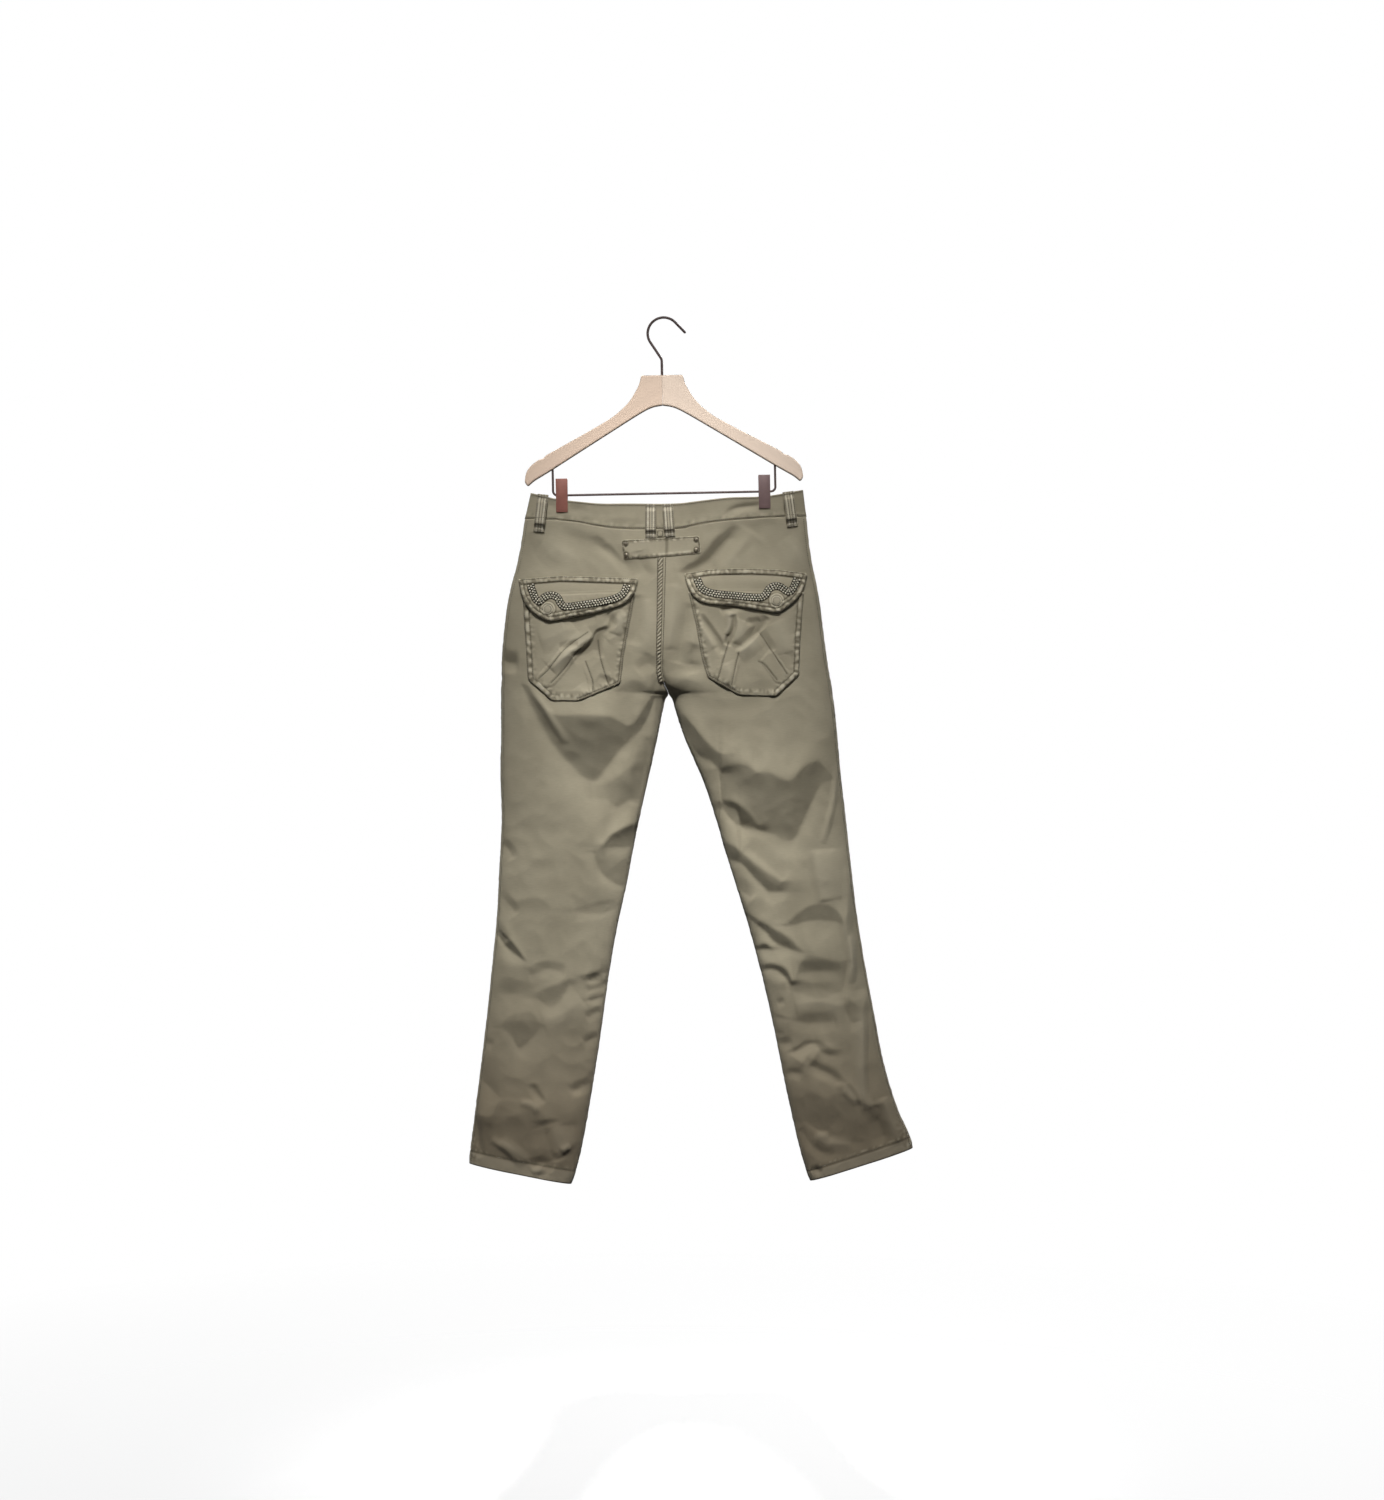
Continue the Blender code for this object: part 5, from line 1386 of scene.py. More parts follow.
def unevenness(x, z, piece):
    """The unevenness of a laid piece's own cloth."""
    share, seed = UNEVEN[piece]
    return share * undulation(x, z, seed)


def grooved(x, z, lines, width=1.15):
    """1 on any of the lines and 0 away from all of them."""
    total = np.zeros(x.shape)
    for line in lines:
        total = np.maximum(total, bell(line_gap(x, z, line), width))
    return total


def between(value, low, high, soft=0.8):
    """1 between two values, falling off softly outside them."""
    return smooth_step((value - low) / soft + 0.5) * smooth_step((high - value) / soft + 0.5)


# ---- pockets and flaps -------------------------------------------------------------------------

# Corners: x, z and how much is rounded off
POCKET = {
    "left": (
        (-217.5, -432, 0), (-213, -500, 0), (-209, -560, 5), (-172, -592.5, 6),
        (-129, -593, 6), (-65.5, -566, 5), (-61, -524, 0), (-43, -425, 0),
    ),
    "right": (
        (38, -425, 0), (49.6, -476, 0), (58.6, -527, 0), (67.6, -557, 5), (115, -584, 6),
        (174, -586, 6), (209, -553, 5), (211.3, -501, 0), (217, -425, 0),
    ),
}
FLAP = {
    "left": (
        (-225, -405, 2), (-160, -399.8, 0), (-38.5, -403.9, 4), (-41, -420, 8),
        (-57, -445, 16), (-110, -459.5, 0), (-177, -471.8, 7), (-203, -457, 8),
        (-220, -432, 12),
    ),
    "right": (
        (31.5, -396, 3), (72, -389.7, 0), (135, -388.4, 0), (174, -389.7, 0),
        (223.5, -396, 5), (216, -424, 12), (200, -442.5, 8), (177, -458.6, 7),
        (110, -447.6, 0), (60, -443.5, 14), (43, -430, 12), (33.5, -408, 8),
    ),
}
# The pocket's felled outer edge, as an open line, and the two edges of each stitched tuck
POCKET_FELL = {
    "left": ((-217.5, -432), (-213, -500), (-209, -560), (-172, -592.5)),
    "right": ((217, -425), (211.3, -501), (209, -553), (174, -586)),
}
TUCKS = {
    "left": (
        (((-192, -559), (-178, -546), (-151, -513), (-116, -487)),
         ((-172.5, -565.2), (-153, -544.6), (-138, -524), (-120, -505))),
        (((-108.4, -579), (-108.4, -563.5), (-119.5, -532)),
         ((-84.8, -566.7), (-96.6, -527.3), (-100.4, -500))),
    ),
    "right": (
        (((190, -551.1), (167.9, -517.9), (148.9, -489.4)),
         ((174.2, -560.6), (155.3, -536.8), (145.8, -532))),
        (((82.5, -563.8), (93.6, -524.1), (100, -502.1)),
         ((104.6, -568.5), (111.8, -533.7), (115.8, -518))),
    ),
}
POCKET_STANDS = 1.5
POCKET_BILLOW = 1.8
FELL_ROWS = (1.4, 8.6)    # rows of stitches, from the edge
HEM_ROWS = (1.3, 4.2)
TUCK_RISE = 1.0
FLAP_STANDS = 2.1
FLAP_ROWS = (1.4, 7.2, 12.6)
WELT_ROWS = (1.3, 8.4)
FELL_CORNER = 5           # rounding of the felled edge's corners
POCKET_FOLD_GAIN = 1.7    # folds stand out this many times their height in FOLDS
FLAP_FOLD_GAIN = 0.9
BILLOW_REACH = 26         # a pocket billows out fully this far in from its edge
FELL_RISE = 0.45          # the felled edge, and the puckers between its rows of stitches
FELL_PUCKER = 1.3
INNER_PUCKER = 1.0        # puckers just inside the rows, which rise and sink about their middle
PUCKER_MIDDLE = 0.4
POCKET_GROOVE = 0.55      # depth of the grooves that the stitches pull
FLAP_GROOVE = 0.8
BORDER_RISE = 0.4         # the flap's turned border and welt, and their puckers
OUTER_PUCKER = 1.2
BORDER_PUCKER = 0.9
FLAP_LIFT = (1.3, 6, 18)  # how far the flap hangs clear, from where below its welt, over what
EDGE_WORN = 0.8           # how far in from its edge a laid piece is worn pale


def pocket_sewing(side):
    """Lines of stitches: two on the felled edge, two round the rest, and the tucks' edges."""
    inward = {"left": 1, "right": -1}[side]
    fell = even_line(fell_line(side), 3)
    rows = [inset(fell, inward * distance)[1:-1] for distance in FELL_ROWS]
    corners = POCKET[side] if side == "left" else POCKET[side][::-1]
    rest = flat_points(corners)
    start = 1 + max(i for i, p in enumerate(rest) if abs(p[0] - fell[-1][0]) < 9
                    and abs(p[1] - fell[-1][1]) < 9)
    hemmed = even_line(rest[start:], 3)
    rows += [inset(hemmed, inward * distance)[1:-1] for distance in HEM_ROWS]
    tucks = [even_line(smooth_line(edge), 2.5) for pair in TUCKS[side] for edge in pair]
    return rows, tucks


def fell_line(side):
    """The pocket's felled edge as an open line, its two corners rounded."""
    start, *corners, end = POCKET_FELL[side]
    rounded = [(x, z, FELL_CORNER) for x, z in corners]
    return flat_points([(*start, 0), *rounded, (*end, 0)], 4)


def tuck_rise(x, z, pair):
    """Height of a tuck, 1 between its two edges and dying out at its upper end."""
    first, second = (smooth_line(edge) for edge in pair)
    gap_one, along, length = from_line(x, z, first)
    gap_two, _, _ = from_line(x, z, second)
    width = np.hypot(*(first[0] - second[0]))
    inside = (abs(gap_one) + abs(gap_two)) < width * 1.35
    rise = np.clip(np.minimum(abs(gap_one), abs(gap_two)) / 1.6 + 0.35, 0, 1)
    return np.where(inside, rise, 0) * smooth_step(2.2 * (1 - along / length))


def pocket(side, cloth):
    """A patch pocket with its felled edge, its tucks and its folds, and its lines of stitches."""
    name = "pocket_" + side
    rows, tucks = pocket_sewing(side)
    fell = fell_line(side)

    def shape(x, z, deep, along):
        fell_gap = line_gap(x, z, fell)
        on_fell = between(fell_gap, -2, FELL_ROWS[1])
        height = POCKET_STANDS + POCKET_BILLOW * smooth_step(deep / BILLOW_REACH)
        bumps = puckers(along, deep, "fell")
        height += on_fell * (FELL_RISE + FELL_PUCKER * bumps * between(fell_gap, *FELL_ROWS, 3.0))
        small = puckers(along, deep, "hem") * (1 - on_fell)
        near_edge = bell(deep - HEM_ROWS[1] - 2.5, 3.5) * (1 - on_fell)
        height += INNER_PUCKER * (small - PUCKER_MIDDLE) * near_edge
        beside = puckers(along, deep, "beside_fell") - PUCKER_MIDDLE
        height += INNER_PUCKER * beside * bell(fell_gap - FELL_ROWS[1] - 3, 3)
        for pair in TUCKS[side]:
            height += TUCK_RISE * tuck_rise(x, z, pair)
        fold = POCKET_FOLD_GAIN * fold_heights(name, x, z) * smooth_step((deep - 1.5) / 8)
        groove = np.maximum(grooved(x, z, rows), 0.9 * grooved(x, z, tucks))
        height += fold + unevenness(x, z, "pocket") - POCKET_GROOVE * groove
        # Painted shade in the stitched grooves and the folds' troughs, with fold crests a little
        # paler; puckers and edge worn pale.
        wear_and_shade = 0.5 + 0.04 * fold - 0.42 * groove
        wear_and_shade += on_fell * 0.85 * (bumps - 0.45) * between(fell_gap, *FELL_ROWS, 3.0)
        wear_and_shade += 0.55 * (small - 0.5) * near_edge + 0.4 * fade(deep, EDGE_WORN)
        return height, wear_and_shade

    obj = laid_piece("cloth_" + name, cloth, flat_points(POCKET[side]), shape, 1.75)
    dress(obj, "cloth", "cloth", name)
    return obj, rows + tucks


TRIM = {
    # middle line of the dotted braid, from the flap's outer top corner round to its inner one
    "left": ((-205, -414), (-200, -429), (-195, -438), (-190, -440), (-183, -433), (-173, -430),
             (-163, -434), (-158, -443), (-152, -448), (-130, -446), (-97, -441), (-73, -435),
             (-61, -427), (-56, -415)),
    "right": ((206, -405), (200, -418), (194, -425), (187, -422), (180, -417), (171, -416),
              (162, -421), (157, -430), (148, -434), (110, -431), (74, -427), (59, -420),
              (52, -405)),
}
TRIM_WIDTH = 12.0
TRIM_RISE = 0.3
BRAID_RISE = 0.5
DOT_RADIUS = 1.6
DOT_HEIGHT = 1.5
DOT_PITCH = 4.3
DOT_ROWS = (-3.5, 0.0, 3.5)
# Radius and height of a bead from its top down, as shares of its own
DOT_PROFILE = ((0, 1), (0.6, 0.72), (0.97, 0.2), (0.8, -0.35))
FLAP_BUTTONS = {"left": (-178, -452), "right": (174, -438.6)}
FLAP_TIP = {"left": (-177, -468), "right": (177, -455)}
RING = 12.5               # radius of the stitched loop round a flap's button
# Radius and height of the covered button, from its top round its rolled rim to its back
COVER_PROFILE = ((0, 2.5), (2.5, 2.45), (4.6, 2.15), (5.6, 1.85), (6.1, 1.9), (6.9, 2.0),
                 (7.5, 1.7), (7.6, 1.1), (7.2, 0.5), (6.2, 0.1), (0, 0.1))


def flap_frame(side):
    """The flap's top edge and the rest of its edge, each from the outer to the inner end."""
    points = flat_points(FLAP[side], 6)
    high = max(z for _, z in points)
    outline = points if side == "left" else points[::-1]
    outer_top = min(outline, key=lambda p: p[0] * SIDE_SIGN[side] * -1 - p[1] * 0.5)
    inner_top = min(outline, key=lambda p: p[0] * SIDE_SIGN[side] - p[1] * 0.5)
    start, end = outline.index(outer_top), outline.index(inner_top)
    ordered = outline[start:] + outline[:start]
    end = (end - start) % len(outline)
    first, second = ordered[:end + 1], ordered[end:] + ordered[:1]
    top, border = (first, second[::-1]) if np.mean([p[1] for p in first]) > high - 12 else (
        second[::-1], first)
    return even_line(top, 2.5), even_line(border, 2.5)


def key_hole(side):
    """The stitched loop round the button, open towards the flap's tip."""
    centre, tip = Vector(FLAP_BUTTONS[side]), Vector(FLAP_TIP[side])
    start = math.atan2(tip.y - centre.y, tip.x - centre.x)
    line = [tuple(tip)]
    for step in range(17):
        turn = start + math.radians(38) + math.radians(284) * step / 16
        line.append((centre.x + (RING - 2.6) * math.cos(turn),
                     centre.y + (RING - 2.6) * math.sin(turn)))
    return np.array(line + [tuple(tip)])


def flap(side, cloth):
    """A pocket flap with its puckered border, its welt, its bed for the braid and the ring."""
    name = "flap_" + side
    top, border = flap_frame(side)
    sense = -SIDE_SIGN[side]
    borders = [inset(border, sense * d)[2:-2] for d in FLAP_ROWS]
    welts = [inset(top, -sense * d)[1:-1] for d in WELT_ROWS]
    trim = smooth_line(TRIM[side], 4)
    button_x, button_z = FLAP_BUTTONS[side]
    ring = key_hole(side)

    def shape(x, z, deep, along):
        border_gap = line_gap(x, z, border)
        top_gap, top_along, _ = from_line(x, z, top)
        top_gap = abs(top_gap)
        on_welt = between(top_gap, -2, WELT_ROWS[1])
        on_border = between(border_gap, -2, FLAP_ROWS[2]) * (1 - on_welt)
        bumps = puckers(along, border_gap, "border")
        height = FLAP_STANDS + 0.9 * smooth_step(deep / 20)
        ridge_one = between(border_gap, FLAP_ROWS[0], FLAP_ROWS[1], 2.5)
        ridge_two = between(border_gap, FLAP_ROWS[1], FLAP_ROWS[2], 2.5)
        inner_bumps = puckers(along, border_gap, "inner_border")
        height += on_border * (BORDER_RISE + OUTER_PUCKER * bumps * ridge_one
                               + BORDER_PUCKER * inner_bumps * ridge_two)
        welt_bumps = puckers(top_along, top_gap, "welt")
        on_row = between(top_gap, *WELT_ROWS, 3.0)
        height += on_welt * (BORDER_RISE + BORDER_PUCKER * welt_bumps * on_row)
        groove = np.maximum(grooved(x, z, borders), grooved(x, z, welts))
        shade = bell(top_gap - WELT_ROWS[1] - 1.2, 1.2)
        on_trim = between(line_gap(x, z, trim), -2, TRIM_WIDTH / 2, 1.2) * (1 - on_welt)
        height += TRIM_RISE * on_trim
        reach = np.hypot(x - button_x, z - button_z)
        on_ring = bell(line_gap(x, z, ring), 1.7)
        inside = between(reach, -5, RING - 4.5, 1.5)
        groove_ring = bell(reach - RING, 0.9) * between(z, button_z - 7, 999, 4)
        height += on_ring - 0.4 * inside - 0.6 * groove_ring
        height += unevenness(x, z, "flap") - FLAP_GROOVE * (groove + shade)
        height += FLAP_FOLD_GAIN * fold_heights(name, x, z)
        # Painted shade in the stitched grooves, in the strip under the welt, in the groove round
        # the button and under and beside the braid; puckers, edge and ring worn pale.
        wear_and_shade = 0.5 + on_border * (0.8 * (bumps - 0.45) * ridge_one
                                  + 0.6 * (inner_bumps - 0.5) * ridge_two + 0.05)
        wear_and_shade += on_welt * (0.04 + 0.6 * (welt_bumps - 0.5))
        wear_and_shade += 0.35 * fade(deep, EDGE_WORN) + 0.35 * on_ring - 0.5 * groove - 0.35 * shade
        wear_and_shade -= 0.42 * on_trim * (1 - on_ring) + 0.45 * groove_ring
        return height, wear_and_shade

    def lift(x, z):
        most, start, reach = FLAP_LIFT
        return most * smooth_step((line_gap(x, z, top) - start) / reach)

    obj = laid_piece("cloth_" + name, cloth, flat_points(FLAP[side], 6), shape, 1.35, 4.0,
                     lift)
    dress(obj, "cloth", "cloth", name)
    return obj, borders + welts, trim


def braid(name, cloth, trim):
    """Dark ribbon with rounded edges that the beads are sewn to."""
    line = even_line(trim, 1.6)
    offsets = np.linspace(-1, 1, 11) * TRIM_WIDTH / 2
    outer = np.stack([inset(line, offset) for offset in offsets], axis=1)
    base = cloth.stands(outer[..., 0], outer[..., 1])
    rise = BRAID_RISE * np.sqrt(1 - (offsets / offsets[-1]) ** 4)
    grids = [np.stack([outer[..., 0], cloth.face * stands, outer[..., 1]], -1)
             for stands in (base + rise + 0.1, base + 0.05)]
    obj = closed_grid(name, *grids)
    add_wear_and_shade(obj, 0.3)
    return dress(obj, "braid", "cloth_light")


def dots(name, cloth, trim):
    """Three rows of small round beads along the braid."""
    profile = [(DOT_RADIUS * radius, DOT_HEIGHT * height) for radius, height in DOT_PROFILE]
    points, faces = [], []
    for number, offset in enumerate(DOT_ROWS):
        line = even_line(inset(even_line(trim, 1.5), offset), DOT_PITCH)
        if number % 2:
            line = (line[:-1] + line[1:]) / 2
        for x, z in line:
            dot, sides = turned(profile, *cloth.seat(x, z), 8, len(points))
            points += dot
            faces += sides
    return dress(mesh_object(name, points, faces, False), "dots", "cloth_light")


def covered_button(side, cloth):
    """Cloth-covered button: a low dome with a rolled rim."""
    place, normal = cloth.seat(*FLAP_BUTTONS[side], 4.0)
    obj = mesh_object("button_cover_" + side, *turned(COVER_PROFILE, place, normal, 32))
    spread = np.hypot(*np.array([v.co / MM - place for v in obj.data.vertices])[:, (0, 2)].T)
    # Worn pale on the rolled rim; a ring of painted shade in the dip just inside it.
    add_wear_and_shade(obj, 0.5 + 0.45 * bell(spread - 7.0, 0.9) - 0.45 * bell(spread - 5.5, 0.5))
    return dress(obj, "cloth_light", "cloth_light", "flap_button_" + side)


back_surface = Cloth(BACK, cloth_pieces[BACK])
front_surface = Cloth(FRONT, cloth_pieces[FRONT])
back_runs = []
pieces = [pocket(side, back_surface) for side in SIDE_SIGN]
back_surface.add(*[piece for piece, _ in pieces])
for _, lines in pieces:
    back_runs += [stitch_run(back_surface, line) for line in lines]
flaps = [flap(side, back_surface) for side in SIDE_SIGN]
back_surface.add(*[piece for piece, _, _ in flaps])
for side, (_, lines, trim) in zip(SIDE_SIGN, flaps):
    back_runs += [stitch_run(back_surface, line) for line in lines]
    back_surface.add(braid("braid_" + side, back_surface, trim))
    dots("dots_" + side, back_surface, trim)
    covered_button(side, back_surface)


# ---- tab, seam band, loops and the small pieces --------------------------------------------------

TAB = ((-66, -344.3, 4), (-61.5, -373.8, 4), (-8.8, -370.9, 0), (58, -364.5, 4),
       (55.5, -337.4, 4))
TAB_STANDS = 1.3
TAB_ROW = 1.8
BAND_EDGES = (
    # left and right edges of the centre seam's band, from the tab down to the crotch
    ((-9.6, -371.6), (-10.4, -460), (-11, -545), (-8, -564)),
    ((3.8, -370.9), (1.6, -460), (-0.6, -545), (3, -564)),
)
BAND_STANDS = 1.0
ROPE_SHARE = (0.06, 0.66)     # the puckered part of the band, between two rows of stitches
ROPE_PITCH = 5.6
ROPE_SLANT = 1.0
ROPE_WANDER = 2.1
BRIDGE = ((-10.3, -328.3, 0), (-10.3, -340.2, 1), (0.2, -339.6, 1), (-1.1, -328.3, 0))
FLY = ((-41, -341.6, 0), (-40, -440, 0), (-36, -464, 10), (-20, -481, 10), (-3.6, -487, 0),
       (-3.6, -342, 0))
LOOPS = (
    # name, face, x and z of the top, x and z of the bottom
    ("loop_back_outer_left", BACK, -186.7, -272.6, -193.0, -331),
    ("loop_back_centre_left", BACK, -19.9, -288, -19.9, -340.7),
    ("loop_back_centre_right", BACK, 6.0, -287.8, 9.4, -338.7),
    ("loop_back_outer_right", BACK, 192.3, -268.4, 199.3, -323),
    ("loop_front_left", FRONT, -112, -291, -115, -346),
    ("loop_front_right", FRONT, 112, -284, 116, -339),
)
LOOP_WALL = 1.7
LOOP_SEATED = 0.5
LOOP_STANDS = 5.6
LOOP_SEWN = 0.14
LOOP_ROWS = (-4.3, 4.3)       # the two stitched ridges, from the middle of a loop
LOOP_LINES = (-6.5, -2.1, 2.1, 6.5)     # and the lines of stitches beside them
TACK_SHARES = (0.075, 0.80, 0.955)      # the bar tacks, from a loop's top
TACK_WIDTH = 12.5
TACK_PITCH = 1.15
TACK_HALF = 1.9               # half length of a tack's stitches
STUDS = ((-58.6, -350), (-57.6, -367.5), (50, -343.5), (50.4, -359.5))
WAIST_BUTTON = (-11, -320)
# Radius and height of each, from its top round its rim to its back
STUD_PROFILE = ((0, 2.6), (1.3, 2.45), (2.3, 1.95), (2.9, 1.25), (3.2, 0.5), (3.1, 0.05),
                (0, 0.05))
BUTTON_PROFILE = ((0, 2.3), (3.2, 2.3), (4.2, 2.1), (5.2, 2.1), (6.2, 3.0), (7.4, 3.2),
                  (8.2, 2.7), (8.5, 1.8), (8.1, 0.9), (6, 0.4), (0, 0.4))


def back_tab(cloth):
    """The tab across the centre seam, sunk round its four studs, and its lines of stitches."""
    outline = flat_points(TAB)
    rows = [even_line(closed_inset(outline, TAB_ROW), 2.5)]

    def shape(x, z, deep, along):
        bumps = puckers(along, deep, "tab")
        edge = between(deep, -2, 5.5, 3)
        crease = from_line(x, z, [(5.5, -338), (4.5, -368)])[0]
        height = TAB_STANDS + 0.5 * edge * bumps + unevenness(x, z, "tab")
        height += 0.9 * bell(crease + 3, 4) - 1.1 * bell(crease, 2.2)
        groove = grooved(x, z, rows)
        sunk = sum(bell(np.hypot(x - sx, z - sz) - 3.9, 0.9) for sx, sz in STUDS)
        # Painted shade in the stitched groove, along the crease and in the sunk rings round the
        # studs; the puckered edge is worn pale.
        wear_and_shade = 0.54 + 0.5 * edge * (bumps - 0.4) - 0.5 * groove + 0.35 * fade(deep, EDGE_WORN)
        wear_and_shade -= 0.45 * sunk + 0.35 * bell(crease, 2.5)
        return height - 0.6 * groove - 0.5 * sunk, wear_and_shade

    obj = laid_piece("cloth_back_tab", cloth, outline, shape, 1.3, 5.0)
    dress(obj, "cloth", "cloth_light", "back_tab")
    return obj, rows


def closed_inset(outline, distance):
    """A closed line inside an outline."""
    return closed(inner_ring(even_line(closed(outline), 2.0)[:-1], distance, 0.9))


def seam_band(cloth):
    """The band down the centre seam, puckered into ropes, and its lines of stitches."""
    left, right = (smooth_line(edge) for edge in BAND_EDGES)
    outline = np.concatenate([even_line(left, 3), even_line(right[::-1], 3)])
    rows = [mix(left, right, share) for share in (0.03, *ROPE_SHARE, 0.96)]

    def shape(x, z, deep, along):
        from_left = line_gap(x, z, left)
        across = from_left / (from_left + line_gap(x, z, right) + 1e-6)
        down = -z + ROPE_WANDER * noise_values(x, z, 9, 51.0)
        phase = 2 * math.pi * (down + ROPE_SLANT * from_left) / ROPE_PITCH
        ropes = np.clip(0.5 + 0.62 * np.sin(phase), 0, 1) ** 1.3
        on_rope = between(across, *ROPE_SHARE, 0.16)
        bulge = np.sin(math.pi * np.clip((across - ROPE_SHARE[0])
                                         / (ROPE_SHARE[1] - ROPE_SHARE[0]), 0, 1))
        height = BAND_STANDS + on_rope * bulge * (0.3 + 1.9 * ropes)
        flat_part = between(across, ROPE_SHARE[1], 1.2, 0.1)
        height += 0.35 * flat_part * puckers(along, across, "centre_band")
        groove = grooved(x, z, rows, 0.75)
        # Paler on the rope crests as worn, and painted shade in the gaps between the ropes and in
        # the stitched grooves.
        wear_and_shade = 0.5 + on_rope * (1.1 * ropes - 0.6) - 0.5 * groove + 0.06 * flat_part
        return height - 0.4 * groove, wear_and_shade

    obj = laid_piece("cloth_seam_band", cloth, outline, shape, 1.15, 5.0)
    dress(obj, "cloth", "cloth_light", "seam_band")
    return obj, rows


def small_flat(name, node, cloth, outline, row, stands, cell):
    """A plain small piece with one row of stitches inside its edge."""
    lines = [even_line(closed_inset(outline, row), 2.5)]

    def shape(x, z, deep, along):
        bumps = puckers(along, deep, "small")
        groove = grooved(x, z, lines, 0.8)
        edge = between(deep, -2, row + 4, 3)
        height = stands + 0.35 * edge * bumps + unevenness(x, z, "small") - 0.45 * groove
        # Painted shade in the stitched groove; the puckered edge is worn pale.
        return height, 0.5 + 0.2 * edge * (bumps - 0.3) - 0.4 * groove

    obj = laid_piece(name, cloth, outline, shape, cell, 4.0)
    dress(obj, "cloth", "cloth", node)
    return obj, lines


def belt_loop(name, face, top_x, top_z, bottom_x, bottom_z, cloth):
    """Strap with two worn lengthwise ridges, sewn down at both ends."""
    top, bottom = np.array([top_x, top_z]), np.array([bottom_x, bottom_z])
    length = np.hypot(*(bottom - top))
    down = (bottom - top) / length
    sideways = np.array([-down[1], down[0]])
    shares = np.linspace(0, 1, 45)
    offsets = np.concatenate([[-8.5, -8.3, -7.8], np.linspace(-7.0, 7.0, 21), [7.8, 8.3, 8.5]])
    middles = mix(top, bottom, shares[:, None])
    bed = np.max([cloth.evened(*(middles + sideways * s).T, 3.0) for s in (-7, 0, 7)], axis=0)
    bed = np.convolve(np.pad(bed, 4, mode="edge"), np.ones(9) / 9, mode="valid")
    sewn = smooth_step((np.minimum(shares, 1 - shares) - LOOP_SEWN * 0.75) / LOOP_SEWN)
    stands = bed + mix(LOOP_SEATED, LOOP_STANDS, sewn)
    x = middles[:, None, 0] + sideways[0] * offsets
    z = middles[:, None, 1] + sideways[1] * offsets
    rounded = np.sqrt(1 - np.clip((abs(offsets) - 6.9) / 1.6, 0, 1) ** 2)
    ridges = sum(bell(offsets - row, 1.3) for row in LOOP_ROWS)
    beside = sum(bell(offsets - line, 0.6) for line in LOOP_LINES)
    worn = 0.5 + 0.5 * noise_values(x, z, 5.0, 71.0)
    tack = sum(np.exp(-((shares - place) * length / reach) ** 4)
               for place, reach in ((0.06, 1.8), (0.885, 6.5)))
    tack = tack[:, None] * between(offsets, -6.6, 6.6, 1.0)
    height = LOOP_WALL * rounded + (0.55 * ridges * (0.6 + 0.6 * worn) - 0.3 * beside)
    height = np.maximum(height - 0.5 * tack + 0.12 * noise_values(x, z, 7, 73.0), 0.05)
    bow = 0.35 * np.cos(offsets / 8.5 * math.pi / 2)
    under = np.broadcast_to(stands[:, None], x.shape)
    obj = closed_grid(name, np.stack([x, face * (under + height + bow), z], -1),
                      np.stack([x, face * under, z], -1))
    # Painted shadow as dark lines along both edges of the strap, and painted shade in the grooves
    # beside its stitching; the ridges are worn pale.
    sides = bell(abs(offsets) - 8.1, 0.45)
    add_wear_and_shade(obj, 0.62 + 0.55 * ridges * worn - 0.5 * (beside + sides) + 0.08 * tack)
    dress(obj, "cloth_light", "cloth_light", name.replace("strap_", "loop_"))
    return obj, middles, sideways


def bar_tack(cloth, place, sideways):
    """Dense stitches across a loop, side by side."""
    down = Vector((-sideways[1], 0, sideways[0]))
    run = []
    for offset in np.arange(-TACK_WIDTH / 2, TACK_WIDTH / 2 + 0.01, TACK_PITCH):
        spot, normal = cloth.seat(*(place + sideways * offset))
        along = (down - normal * down.dot(normal)).normalized() * TACK_HALF
        run.append((spot, along, normal))
    return run


def fastener(name, node, profile, sides, place, reach, cloth):
    """A stud or a button of metal, seated on the cloth."""
    obj = mesh_object(name, *turned(profile, *cloth.seat(*place, reach), sides))
    return dress(obj, "stud", "stud_metal", node)


tab, tab_rows = back_tab(back_surface)
band, rope_rows = seam_band(back_surface)
bridge, bridge_rows = small_flat(
    "cloth_loop_bridge", "loop_bridge", back_surface, flat_points(BRIDGE), 1.2, 1.5, 1.2)
back_surface.add(tab, band, bridge)
fly, fly_rows = small_flat("cloth_fly_placket", "fly_placket", front_surface, flat_points(FLY),
                           1.6, 1.5, 2.0)
front_surface.add(fly)
back_runs += [stitch_run(back_surface, line) for line in tab_rows + rope_rows + bridge_rows]
front_runs = [stitch_run(front_surface, line) for line in fly_rows]
loops = []
for name, face, *ends in LOOPS:
    surface = back_surface if face == BACK else front_surface
    loops.append((face, *belt_loop(name.replace("loop_", "strap_"), face, *ends, surface)))
back_surface.add(*[loop[1] for loop in loops if loop[0] == BACK])
front_surface.add(*[loop[1] for loop in loops if loop[0] == FRONT])
for face, _, middles, sideways in loops:
    surface, runs = (back_surface, back_runs) if face == BACK else (front_surface, front_runs)
    for share in TACK_SHARES:
        runs.append(bar_tack(surface, mix(middles[0], middles[-1], share), sideways))
    for line in LOOP_LINES:
        runs.append(stitch_run(surface, middles[4:-4] + sideways * line))
for number, place in enumerate(STUDS, 1):
    fastener(f"stud_{number}", f"tab_stud_{number}", STUD_PROFILE, 20, place, 2.0, back_surface)
fastener("button_waist", "waist_button", BUTTON_PROFILE, 36, WAIST_BUTTON, 3.0, front_surface)


# ---- rows of stitches along the seams ------------------------------------------------------------

SIDE_SEAM_SHARE = 0.022   # place of the side seam's stitches across the panel


def panel_line(side, face, levels, shares):
    """Line down or across a panel as x and z."""
    return panel_points(side, face, levels, shares)[..., (0, 2)]


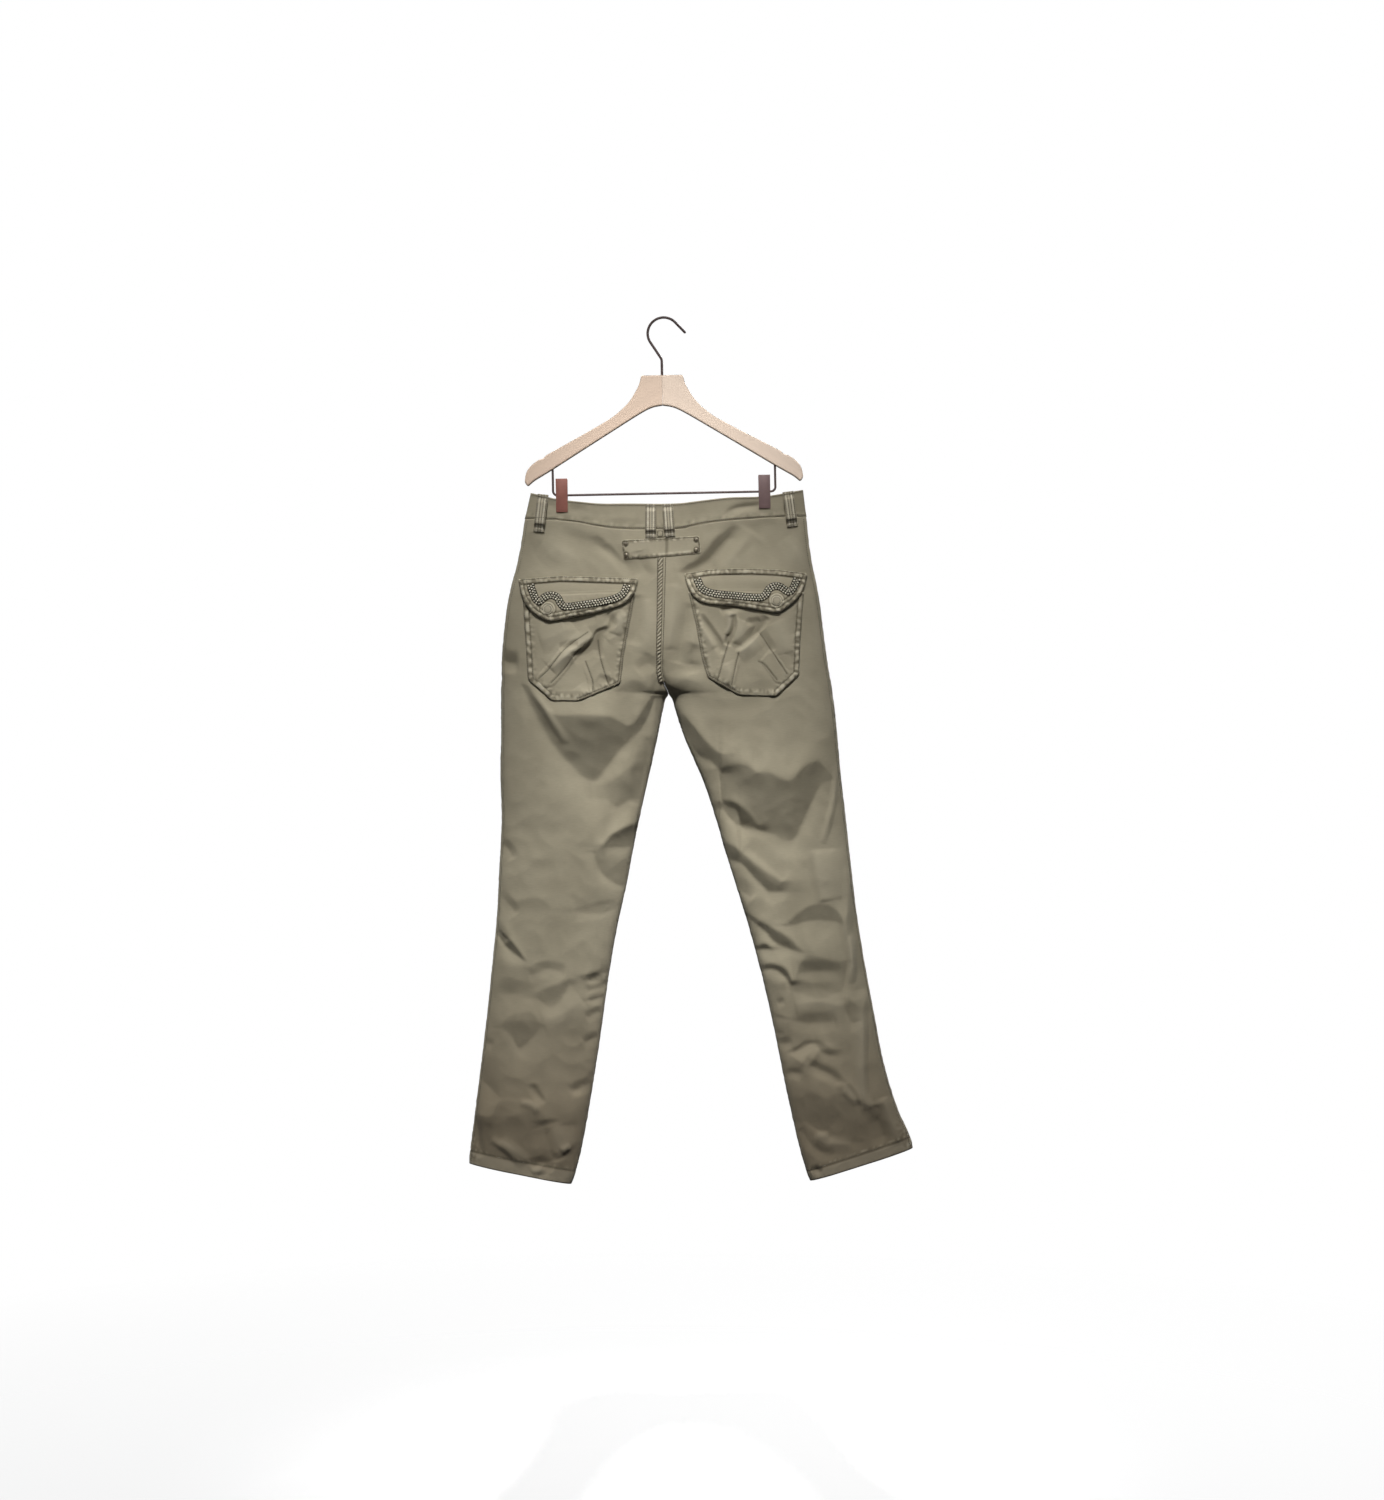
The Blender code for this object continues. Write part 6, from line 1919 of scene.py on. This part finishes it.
across = np.linspace(0.02, 0.98, 60)
down = np.linspace(0.05, LAST_LEVEL - 0.05, 240)
for side in SIDE_SIGN:
    for face, surface, runs in ((BACK, back_surface, back_runs),
                                (FRONT, front_surface, front_runs)):
        hem_line = panel_line(side, face, np.full(across.shape, HEM_LEVEL), across)
        runs.append(stitch_run(surface, hem_line))
        for row in BAND_ROWS:
            line = band_points(side, face, np.full(60, row), np.linspace(0.04, 0.995, 60))
            runs.append(stitch_run(surface, line[..., (0, 2)]))
    side_line = panel_line(side, BACK, down, np.full(down.shape, SIDE_SEAM_SHARE))
    back_runs.append(stitch_run(back_surface, side_line))
stitches("stitches_back", back_runs)
stitches("stitches_front", front_runs)


# ---- camera, light and floor -------------------------------------------------------------------

CAMERA_PLACE = (0.0439, -4.0, -0.6683)
LENS = 61.94
SENSOR = 36
FLOOR_Z = -1.95
FLOOR_RADIUS = 2.6
AMBIENT_BELOW = 0.01
AMBIENT_ABOVE = 0.16


def camera():
    data = bpy.data.cameras.new("camera")
    data.lens = LENS
    data.sensor_width = SENSOR
    made = bpy.data.objects.new("camera", data)
    made.location = CAMERA_PLACE
    made.rotation_euler = (math.pi / 2, 0, 0)
    bpy.context.scene.collection.objects.link(made)
    bpy.context.scene.camera = made


def area_light(name, place, target, size, power, spread=180):
    data = bpy.data.lights.new(name, "AREA")
    data.shape = "RECTANGLE"
    data.size, data.size_y = size
    data.energy = power
    data.spread = math.radians(spread)
    made = bpy.data.objects.new(name, data)
    made.location = place
    aim = Vector(target) - Vector(place)
    made.rotation_euler = aim.to_track_quat("-Z", "Y").to_euler()
    made.visible_camera = False
    bpy.context.scene.collection.objects.link(made)


def surroundings():
    """White all round for the camera; as light, soft from above and dim from below."""
    world = bpy.data.worlds.new("studio")
    bpy.context.scene.world = world
    world.use_nodes = True
    nodes, links = world.node_tree.nodes, world.node_tree.links
    seen = nodes["Background"]
    seen.inputs["Color"].default_value = (1, 1, 1, 1)
    seen.inputs["Strength"].default_value = 1.0
    place = nodes.new("ShaderNodeTexCoord")
    upward = nodes.new("ShaderNodeSeparateXYZ")
    links.new(place.outputs["Generated"], upward.inputs[0])
    strength = nodes.new("ShaderNodeMapRange")
    links.new(upward.outputs["Z"], strength.inputs[0])
    for socket, value in enumerate((-0.6, 1.0, AMBIENT_BELOW, AMBIENT_ABOVE), 1):
        strength.inputs[socket].default_value = value
    lights = nodes.new("ShaderNodeBackground")
    lights.inputs["Color"].default_value = (0.97, 0.985, 1, 1)
    links.new(strength.outputs[0], lights.inputs["Strength"])
    path = nodes.new("ShaderNodeLightPath")
    either = nodes.new("ShaderNodeMixShader")
    links.new(path.outputs["Is Camera Ray"], either.inputs[0])
    links.new(lights.outputs[0], either.inputs[1])
    links.new(seen.outputs[0], either.inputs[2])
    links.new(either.outputs[0], nodes["World Output"].inputs[0])


def paper_floor():
    """Pale round of paper that fades out at its edge and throws no light back."""
    mesh = bmesh.new()
    bmesh.ops.create_circle(mesh, cap_ends=True, segments=96, radius=FLOOR_RADIUS)
    data = bpy.data.meshes.new("floor")
    mesh.to_mesh(data)
    mesh.free()
    floor = bpy.data.objects.new("floor", data)
    floor.location.z = FLOOR_Z
    floor.visible_diffuse = False
    bpy.context.scene.collection.objects.link(floor)
    look = Look("floor_paper", (0.42, 0.42, 0.42), 0.8)
    look.set("Emission Color", (1, 1, 1, 1))
    look.set("Emission Strength", 0.68)
    place = look.node("TexCoord").outputs["Object"]
    away = look.node("VectorMath", {0: place}, operation="LENGTH").outputs["Value"]
    look.set("Alpha", look.ramp(away, FLOOR_RADIUS, FLOOR_RADIUS * 0.2))
    data.materials.append(look.material)


bpy.context.scene.view_settings.view_transform = "Standard"
camera()
surroundings()
paper_floor()
area_light("key", (-0.1, -3.2, 4.2), (0, 0, -0.94), (0.6, 0.3), 3.0, spread=11)
for side, sign in SIDE_SIGN.items():
    area_light("hanger_" + side, (0.12 * sign, -2.2, 0.8), (0.11 * sign, 0, -0.17),
               (0.2, 0.2), 0.19, spread=15)
area_light("rear", (0.8, 2.4, 0.9), (0, 0, -0.6), (1.6, 1.2), 80)
